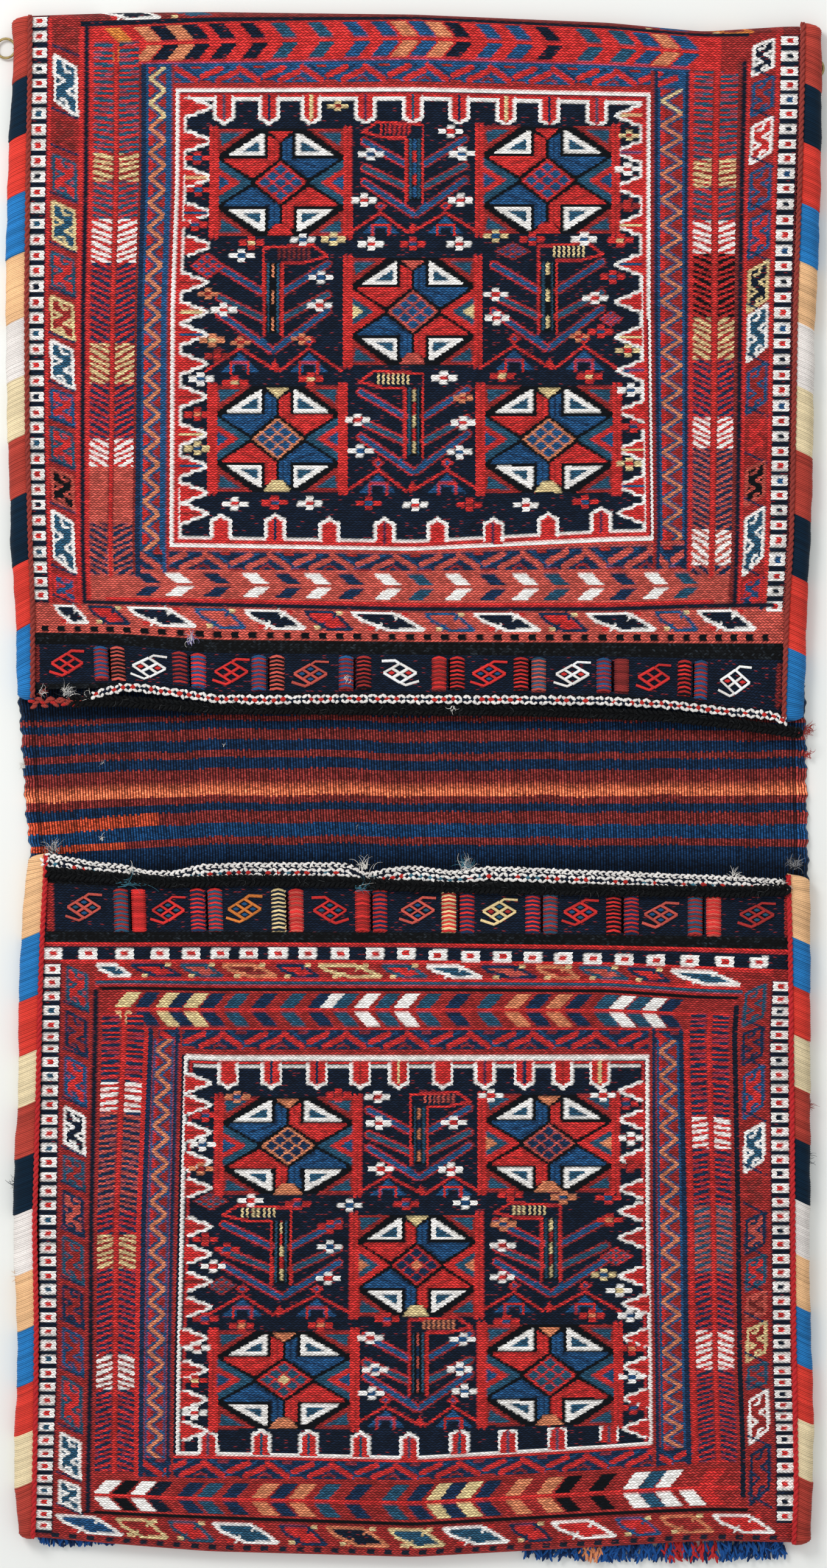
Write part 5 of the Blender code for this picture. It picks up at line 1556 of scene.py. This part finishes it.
def wrapSpan(side, number, start, end, colour):
    table, section = bindingSides[side], np.array(binding["section"])
    rng = np.random.default_rng(len(side) * 100 + number + (50 if "left" in side else 0))
    count = max(8, int(round((end - start) / binding["thread"])) * 2)
    level = start + (end - start) * np.arange(count + 1) / count
    top, bottom = table["spans"][0], table["spans"][-1]
    ridge = np.where(np.arange(count + 1) % 2, 1.0, -1.0) * binding["ridge"]
    ridge = ridge + np.repeat(rng.normal(0, 0.00005, count // 2 + 1), 2)[:count + 1]
    ring = np.append(section[:, 0], section[0, 0])
    ringZ = np.append(section[:, 1], section[0, 1])
    lean = np.concatenate([section[:10, 0], section[10:, 0] ** 0.5, section[:1, 0]]) - 0.5
    slant = binding["slant"] * np.clip(np.minimum(level - top, bottom - level) / 55, 0.12, 1)[:, None]
    y = level[:, None] + slant * lean[None, :]
    near = np.minimum(np.minimum(level[:, None] - top, bottom - level[:, None]), binding["round"])
    ease = np.sqrt(np.clip(1 - (1 - np.clip(near / binding["round"], 0.02, 1)) ** 2, 0.02, 1))
    inner, outer = softly(table["seam"], y), softly(table["outer"], y)
    sign = np.sign(outer - inner)
    swell = binding["swell"] * (np.sin(y * 0.055 + number) + 0.6 * np.sin(y * 0.13 + 2 * number)) / planStep
    outward = ring[None, :] - 0.45
    reach = (outer - inner) * ring[None, :] * ease
    x = inner + reach + sign * (swell * ring[None, :] + ridge[:, None] / planStep * outward * 2 * (ring > 0.1))
    middle = binding["middle"]
    z = middle + (ringZ[None, :] - middle) * ease
    z = z + ridge[:, None] * np.sign(ringZ - middle)[None, :] * (ring > 0.05)
    z = np.maximum(z, 0.0001)
    points = np.stack([toX(x), toY(y), z], axis=-1)
    hollow, reach, slope = binding["hollow"]
    for ringX, ringY in ringMiddles:  # the yarn lies over each ring and is pressed up by it
        away = np.hypot(points[..., 0] - ringX, points[..., 1] - ringY)
        points[..., 2] = np.maximum(points[..., 2], hollow * np.clip((reach - away) / slope, 0, 1))
    caps = [points[:1].mean(axis=1, keepdims=True).repeat(points.shape[1], axis=1),
            points[-1:].mean(axis=1, keepdims=True).repeat(points.shape[1], axis=1)]
    points = np.concatenate([caps[0], points, caps[1]])
    tone = linear(binding["colours"][colour])
    shade = 1 + (0.55 - 0.4 * tone.mean()) * (np.repeat(rng.random(len(points) // 2 + 1), 2)[:len(points)] - 0.5)
    colours = tone[None, :] * shade[:, None]
    name = side.replace("_", "-") + "-%02d" % number
    piece = wovenTube("binding-" + name, points[::-1], [], colours[::-1], bindingYarn)
    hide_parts("wrap_%s_%02d_%s" % (side, number, colour))


for side, table in bindingSides.items():
    spans = table["spans"]
    for number, (start, end, colour) in enumerate(zip(spans, spans[1:], windings[side[:5]]), 1):
        wrapSpan(side, number, start, end, colour)
print("bindings wound")


# Twisted seam cords, inside the bindings.
seamCord = {"ply": 0.0011, "off": 0.00085, "pitch": 21.0, "height": 0.0138, "step": 2.2}
for side, table in bindingSides.items():
    top, bottom = table["spans"][0] + 2, table["spans"][-1] - 2
    level = np.arange(top, bottom, seamCord["step"])
    middle = softly(table["seam"], level)
    colour = (156, 62, 54) if "upper" in side else (204, 44, 48)
    runs = []
    for ply in (0, math.pi):
        angle = level / seamCord["pitch"] * 2 * math.pi + ply
        points = np.stack([toX(middle) + np.cos(angle) * seamCord["off"], toY(level),
                           seamCord["height"] + np.sin(angle) * seamCord["off"]], axis=-1)
        runs.append((points, seamCord["ply"], seamCord["ply"], colour))
    piece = strands("seamCord-" + side.replace("_", "-"), runs, woolYarn)
    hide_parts("seam_cord_" + side)
print("seam cords laid")


# Plaited goat-hair cords along the mouths.
mouthCord = {
    "pitch": 8.2, "long": 15.0, "wide": 6.8, "high": 0.0017, "angle": 0.66, "spread": 5.0,
    "hairs": 260, "hairThick": 0.00012, "middle": {"upper": 0.0124, "lower": 0.0146}, "core": (0.0036, 0.0012),
    "paths": {
        "upper": (
            (118, 1152), (200, 1152), (350, 1164), (680, 1166), (880, 1168), (1100, 1177), (1200, 1188),
            (1290, 1201), (1314, 1204),
        ),
        "lower": (
            (80, 1433), (160, 1440), (280, 1450), (400, 1446), (560, 1449), (680, 1456), (880, 1461),
            (1200, 1465), (1296, 1462),
        ),
    },
}
for end, path in mouthCord["paths"].items():
    middle = mouthCord["middle"][end]
    rng = np.random.default_rng(11)
    runs = []
    for x, y, angle in pathAt(path, mouthCord["pitch"]):
        for row in (-1, 1):
            jitter = rng.normal(0, 0.07)
            shift = row * mouthCord["spread"] + rng.normal(0, 0.4)
            tone = 0.8 + 0.5 * rng.random()
            runs.append(oval(x - math.sin(angle) * shift, y - math.cos(angle) * shift,
                             middle + 0.0009 + rng.normal(0, 0.0001), angle - row * mouthCord["angle"] + jitter,
                             mouthCord["long"], mouthCord["wide"], mouthCord["high"],
                             (int(10 * tone), int(12 * tone), int(14 * tone))))
    places = pathAt(path, 12)
    runs.append(([(toX(x), toY(y), middle) for x, y, _ in places], *mouthCord["core"], (7, 8, 10)))
    for _ in range(mouthCord["hairs"]):
        x, y, angle = places[rng.integers(len(places))]
        heading, curl = angle + rng.normal(0, 0.9), rng.normal(0, 0.4)
        px, py, points = toX(x), toY(y + rng.normal(0, 5)), []
        for step in range(5):
            points.append((px, py, middle + 0.0022 + 0.0008 * math.sin(step * 0.8)))
            px, py, heading = px + 0.0011 * math.cos(heading), py + 0.0011 * math.sin(heading), heading + curl
        grey = int(22 + 60 * rng.random() ** 3)
        runs.append((points, mouthCord["hairThick"], mouthCord["hairThick"], (grey, grey + 2, grey + 4)))
    piece = strands("mouthCord-" + end, runs, goatYarn)
    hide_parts("mouth_cord_" + end)
print("mouth cords plaited")


# Twined edgings of white, red and blue along the mouths.
twined = {
    "white": (255, 250, 244), "red": (206, 46, 40), "navy": (14, 26, 48), "teal": (58, 118, 140),
    "height": {"upper": 0.0148, "lower": 0.0143}, "core": {"upper": 0.0028, "lower": 0.0048},
    "upper": (
        (158, 1141), (170, 1137), (205, 1129), (235, 1131), (290, 1138), (350, 1148), (440, 1150), (560, 1148),
        (680, 1149), (880, 1150), (1000, 1152), (1100, 1158), (1200, 1170), (1270, 1176), (1289, 1186),
    ),
    "lower": (
        (76, 1412), (110, 1418), (150, 1426), (200, 1431), (240, 1440), (280, 1443), (330, 1431), (400, 1428),
        (570, 1428), (590, 1440), (604, 1446), (640, 1436), (680, 1433), (744, 1441), (800, 1434), (880, 1437),
        (1000, 1442), (1100, 1446), (1200, 1450), (1260, 1454), (1280, 1456),
    ),
}


# Stitches of one chain: a diamond of four white ones round a coloured one, or a line of hooks
def twineUnits(path, shift, pitch, wide, height, rng, middleTones, shape):
    runs = []
    for x, y, angle in pathAt(path, pitch):
        x, y = x - math.sin(angle) * shift, y - math.cos(angle) * shift
        parts = []
        if shape == "diamond":
            for sx in (-1, 1):
                for sy in (-1, 1):
                    parts.append((sx * pitch * 0.25, sy * wide * 0.25, -sx * sy * 0.62, pitch * 0.66, wide * 0.36,
                                  twined["white"]))
            parts.append((0, 0, 0.0, pitch * 0.56, wide * 0.5, middleTones[rng.integers(len(middleTones))]))
            parts.append((pitch * 0.5, 0, 0.0, pitch * 0.3, wide * 0.3, twined["navy"]))
        else:
            parts.append((0, 0, 0.55, pitch * 1.15, wide * 0.42, twined["white"]))
            parts.append((pitch * 0.5, -wide * 0.2, -0.3, pitch * 0.8, wide * 0.3, twined["white"]))
            parts.append((pitch * 0.1, wide * 0.3, -0.3, pitch * 0.7, wide * 0.26, twined["white"]))
        for dx, dy, lean, long, broad, tone in parts:
            worn = 0.9 + 0.1 * rng.random()
            tone = tuple(int(part * worn) for part in tone)
            runs.append(oval(x + dx * math.cos(angle) - dy * math.sin(angle) + rng.normal(0, 0.35),
                             y - dx * math.sin(angle) + dy * math.cos(angle) + rng.normal(0, 0.5),
                             height + rng.normal(0, 0.00015) + (0.0003 if tone[0] > 180 > tone[1] else 0),
                             angle + lean + rng.normal(0, 0.16), long * (1 + rng.normal(0, 0.1)),
                             broad * (1 + rng.normal(0, 0.1)), 0.0006, tone))
    return runs


for end in ("upper", "lower"):
    rng = np.random.default_rng(21)
    height = twined["height"][end]
    if end == "upper":
        hearts = (twined["red"], twined["red"], twined["navy"])
        runs = twineUnits(twined["upper"], 0, 15.5, 15.5, height, rng, hearts, "diamond")
    else:
        runs = twineUnits(twined["lower"], 7.5, 10, 11, height, rng, (twined["red"],), "hook")
        hearts = (twined["red"], twined["red"], twined["navy"], twined["teal"])
        runs += twineUnits(twined["lower"], -5.5, 16, 15, height, rng, hearts, "diamond")
    core = [(toX(x), toY(y), height - 0.0009) for x, y, _ in pathAt(twined[end], 14)]
    runs.append((core, twined["core"][end], 0.0006, (16, 24, 40)))
    piece = strands("twinedEdge-" + end, runs, woolYarn)
    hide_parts("twined_edge_" + end)
print("edgings twined")


# Brass rings keep their own shapes and get a worn brass.
def brassFinish():
    finish = bpy.data.materials.new("wornBrass")
    finish.use_nodes = True
    tree = finish.node_tree
    shader = tree.nodes["Principled BSDF"]
    shader.inputs["Metallic"].default_value = 1.0
    where = newNode(tree, "TexCoord")
    spots = newNode(tree, "TexNoise")
    spots.inputs["Scale"].default_value = 600.0
    tree.links.new(where.outputs["Object"], spots.inputs["Vector"])
    tone = newNode(tree, "Mix", data_type="RGBA")
    tone.inputs[6].default_value = (*linear((112, 96, 62)), 1)
    tone.inputs[7].default_value = (*linear((196, 174, 118)), 1)
    tree.links.new(spots.outputs["Fac"], tone.inputs[0])
    tree.links.new(tone.outputs[2], shader.inputs["Base Color"])
    tree.links.new(mapped(tree, spots.outputs["Fac"], 0.3, 0.7, 0.25, 0.5), shader.inputs["Roughness"])
    return finish


brass = brassFinish()
for node in ("ring_left", "ring_right"):
    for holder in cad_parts[node].material_slots:
        holder.material = brass


# Sewing thread that holds each ring: two plies wound round the wire.
threadLoop = {"off": 0.00022, "thick": 0.0002, "winds": 7, "colour": (214, 200, 176)}
for side in ("left", "right"):
    low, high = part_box("ring_loop_" + side)
    middle, reach = [(a + b) / 2 for a, b in zip(low, high)], (high[0] - low[0]) / 2 - 0.0004
    runs = []
    for ply in (0, math.pi):
        points = []
        for step in range(41):
            turn = step / 40 * 2 * math.pi
            wind = turn * threadLoop["winds"] + ply
            away = reach + threadLoop["off"] * math.cos(wind)
            points.append((middle[0] + away * math.cos(turn), middle[1] + threadLoop["off"] * math.sin(wind),
                           middle[2] + away * math.sin(turn)))
        runs.append((points, threadLoop["thick"], threadLoop["thick"], threadLoop["colour"]))
    piece = strands("threadLoop-" + side, runs, woolYarn)
    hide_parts("ring_loop_" + side)
print("rings tied")


# Knotted pile of the underside, past the lower fold.
pile = {
    "spans": ((862, 1292, 620), (58, 194, 110)),  # left, right and number of tufts
    "blue": (30, 88, 160), "dark": (16, 46, 92), "red": (196, 44, 48), "peach": (232, 150, 104),
    "tuftLong": 15, "tuftWide": 4.6, "tuftHigh": 0.0008,
}
rng = np.random.default_rng(5)
runs = []
for left, right, count in pile["spans"]:
    for _ in range(count):
        x = left + (right - left) * rng.random()
        depth = rng.random()
        y = 2541 + 24 * depth if left > 500 else 2531 + 8 * depth
        y -= 26 * abs((x - (left + right) / 2) / (right - left)) ** 3 * 2
        colour = pile["blue"] if rng.random() < 0.7 else pile["dark"]
        if left > 500 and 1090 < x < 1180 and rng.random() < 0.6:
            colour = pile["red"]
        if left > 500 and 955 < x < 992 and rng.random() < 0.6:
            colour = pile["peach"]
        lean = rng.normal(0, 0.45) - math.pi / 2
        runs.append(oval(x, y, 0.0012 + 0.0036 * rng.random(), lean,
                         pile["tuftLong"] + 7 * rng.random(), pile["tuftWide"], pile["tuftHigh"], colour))
piece = strands("foldPile", runs, woolYarn)
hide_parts("fold_pile")
print("pile tufted")


# Raised yarn of the closure bands: the wrapped slit edges and the diamonds between them.
bands = {"lineHalf": 2.2, "threadPitch": 3.4, "barInner": 3.6, "barOuter": 26}


def onCloth(creep, points, height):
    xs, ys = np.array([p[0] for p in points], float), np.array([p[1] for p in points], float)
    xs, ys = crept(creep, xs, ys)
    return [(toX(x), toY(y), height) for x, y in zip(xs, ys)]


def bandYarn(name, creep, slits, rows, tulips, middle, height):
    rng = np.random.default_rng(31)
    runs = []
    for x, left, right in slits:
        for side, pair in ((-1, left), (1, right)):
            near, far = x + side * bands["barInner"], x + side * bands["barOuter"]
            level, index = rows[0], 0
            while level < rows[1]:
                slope = rng.normal(2.4, 0.5) * (pair[0] != pair[1])
                places = [(near + (far - near) * t, level + slope * (abs(t - 0.5) * 2 - 0.5)) for t in (
                    0, 0.2, 0.5, 0.8, 1,
                )]
                points = onCloth(creep, places, height + rng.normal(0, 0.0001))
                points = [(a, b, c + d) for (a, b, c),
                          d in zip(points, (-0.0012, 0.0001, 0.0004, 0.0001, -0.001))]
                tone = np.array(yarns[pair[index % 2]][0]) * (0.85 + 0.3 * rng.random())
                half = bands["threadPitch"] * 0.72 * planStep
                runs.append((points, (half * 0.5, half, half, half, half * 0.4), half * 0.8,
                             np.minimum(tone, 255)))
                level, index = level + bands["threadPitch"] * (0.9 + 0.2 * rng.random()), index + 1
    for x, yarn, seeds in tulips:
        level = middle + rng.normal(0, 1.5)
        turn = 1 if rng.random() < 0.8 else -1
        lines = [
            ((-27, 0), (0, -16)), ((0, -16), (27, 0)), ((27, 0), (0, 17)), ((0, 17), (-27, 0)),
            ((-14, -8), (13, 9)), ((-13, 9), (14, -8)), ((1, -16), (8, -21), (30, -20)),
            ((-1, 17), (-9, 21), (-31, 14)),
        ]
        tone = np.array(yarns[yarn][0])
        for shape in lines:
            places = []
            for (xa, ya), (xb, yb) in zip(shape, shape[1:]):
                places += [(x + turn * (xa + (xb - xa) * t), level + ya + (yb - ya) * t) for t in (0, 0.33, 0.67)]
            places.append((x + turn * shape[-1][0], level + shape[-1][1]))
            half = bands["lineHalf"] * planStep * rng.normal(1, 0.08)
            runs.append((onCloth(creep, places, height - 0.0004), half, half * 0.8,
                         np.minimum(tone * (0.9 + 0.2 * rng.random()), 255)))
        for dx, dy, seed in ((0, -8, 0), (-14, 0, 1), (14, 0, 1), (0, 9, 0)):
            if seeds[seed]:
                centre = onCloth(creep, [(x + turn * dx, level + dy)], height - 0.0005)[0]
                points = [(centre[0] + t * 0.0022, centre[1], centre[2]) for t in (-1, -0.5, 0, 0.5, 1)]
                runs.append((points, [0.0001, 0.0009, 0.0013, 0.0009, 0.0001], 0.0004, yarns[seeds[seed]][0]))
    return strands(name, runs, woolYarn)


plain, redSeed = (None, None), (None, "red")
bandYarn("bandYarn-upper", upperCreep, upperSlits, (1078, 1132), (
    (108, "red", plain), (247, "white", redSeed), (380, "red", plain), (510, "salmon", ("blue", "blue")),
    (657, "white", redSeed), (803, "red", ("blue", "blue")), (940, "white", redSeed), (1075, "red", plain),
    (1222, "white", redSeed),
), 1104, 0.0138)
bandYarn("bandYarn-lower", lowerCreep, lowerSlits, (1464, 1530), (
    (132, "salmon", ("blue", "teal")), (273, "red", ("teal", "teal")), (400, "orange", ("blue", "blue")),
    (541, "red", ("teal", "teal")), (686, "salmon", ("blue", "teal")), (820, "cream", ("teal", "brick")),
    (953, "red", ("teal", "blue")), (1085, "salmon", ("blue", "blue")), (1240, "brick", ("teal", "teal")),
), 1494, 0.0138)
print("closure bands wrapped")


# Frayed ends and worn knots, as they are on the bag.
frayHalf = 0.00024
frayTones = {
    "white": (240, 236, 228), "grey": (150, 150, 152), "rust": (168, 66, 56), "lavender": (150, 140, 190),
    "teal": (70, 130, 150), "navy": (16, 34, 56), "peach": (238, 190, 144), "dark": (30, 32, 38),
    "red": (196, 44, 42),
}
# Each tuft: plan place, height, number of hairs, length, heading, spread and colours.
frays = {
    "upper": (
        (66, 1138, 0.0142, 18, 13, 10, 70, ("white", "grey", "rust")),
        (108, 1140, 0.0142, 40, 16, 60, 60, ("grey", "dark", "white")),
        (146, 1146, 0.0140, 12, 18, 150, 40, ("white", "dark")),
        (314, 1056, 0.0146, 12, 22, 95, 25, ("lavender", "lavender", "white")),
        (744, 1162, 0.0150, 5, 12, 270, 30, ("white",)), (1284, 1150, 0.0146, 14, 14, 200, 60, ("red", "dark")),
        (568, 1118, 0.0148, 4, 9, 60, 40, ("white",)),
    ),
    "lower": (
        (88, 1400, 0.0120, 30, 20, 110, 50, ("grey", "grey", "white", "dark")),
        (214, 1432, 0.0148, 8, 10, 90, 60, ("white",)), (598, 1428, 0.0148, 12, 26, 95, 16, ("white",)),
        (612, 1440, 0.0148, 8, 12, 270, 50, ("white", "teal")),
        (765, 1425, 0.0148, 26, 20, 80, 60, ("grey", "teal", "white")),
        (1204, 1440, 0.0148, 8, 16, 80, 30, ("white",)),
        (1304, 1424, 0.0130, 40, 18, 90, 80, ("grey", "grey", "dark")),
        (1282, 1456, 0.0150, 10, 16, 10, 50, ("white",)), (205, 1452, 0.0162, 8, 36, 5, 14, ("teal",)),
        (585, 1458, 0.0162, 8, 30, 0, 16, ("teal", "teal", "white")),
    ),
    "sides": (
        (30, 1944, 0.0080, 16, 18, 190, 60, ("navy",)), (30, 2096, 0.0080, 7, 14, 180, 40, ("peach",)),
        (1326, 1815, 0.0080, 12, 16, 0, 60, ("rust",)), (1326, 1906, 0.0080, 6, 16, -10, 40, ("navy",)),
        (37, 1258, 0.0040, 22, 7, 200, 80, ("white",)),
        (1326, 1198, 0.0040, 22, 14, -10, 70, ("rust", "rust", "red")),
        (1328, 1238, 0.0040, 14, 12, -40, 60, ("rust", "red")), (366, 1228, 0.0034, 2, 7, 80, 30, ("white",)),
        (166, 1250, 0.0036, 2, 12, 270, 8, ("white", "grey")), (167, 1380, 0.0036, 4, 9, 80, 30, ("white",)),
        (585, 1360, 0.0036, 2, 6, 60, 40, ("grey",)),
    ),
}
for place, tufts in frays.items():
    rng = np.random.default_rng(41)
    runs = []
    for x, y, height, count, length, heading, spread, tones in tufts:
        for _ in range(int(count * 1.5)):
            angle = math.radians(heading + rng.normal(0, spread * 0.6))
            curl = rng.normal(0, 0.9)
            reach = length * (0.5 + 0.7 * rng.random()) * planStep / 6
            px, py = toX(x + rng.normal(0, length * 0.22)), toY(y + rng.normal(0, 3))
            points = []
            for step in range(7):
                points.append((px, py, height + 0.0009 * math.sin(step / 6 * 2.6) * (0.4 + rng.random() * 0.2)))
                px, py = px + math.cos(angle) * reach, py + math.sin(angle) * reach
                angle += curl / 3
            half = frayHalf * (0.7 + 0.6 * rng.random())
            taper = [half * (1 - 0.12 * k) for k in range(7)]
            runs.append((points, taper, taper, frayTones[tones[rng.integers(len(tones))]]))
    if place == "upper":
        for index in range(24):
            x = 52 + index * 3.6
            runs.append(oval(x, 1153 + 5 * math.sin(index * 1.3) + rng.normal(0, 1.5), 0.0128,
                             0.5 * math.sin(index),
                             13, 6.5, 0.0012, frayTones["rust" if index % 5 else "red"]))
    strands("frays-" + place, runs, woolYarn, sides=4)
print("frays laid")
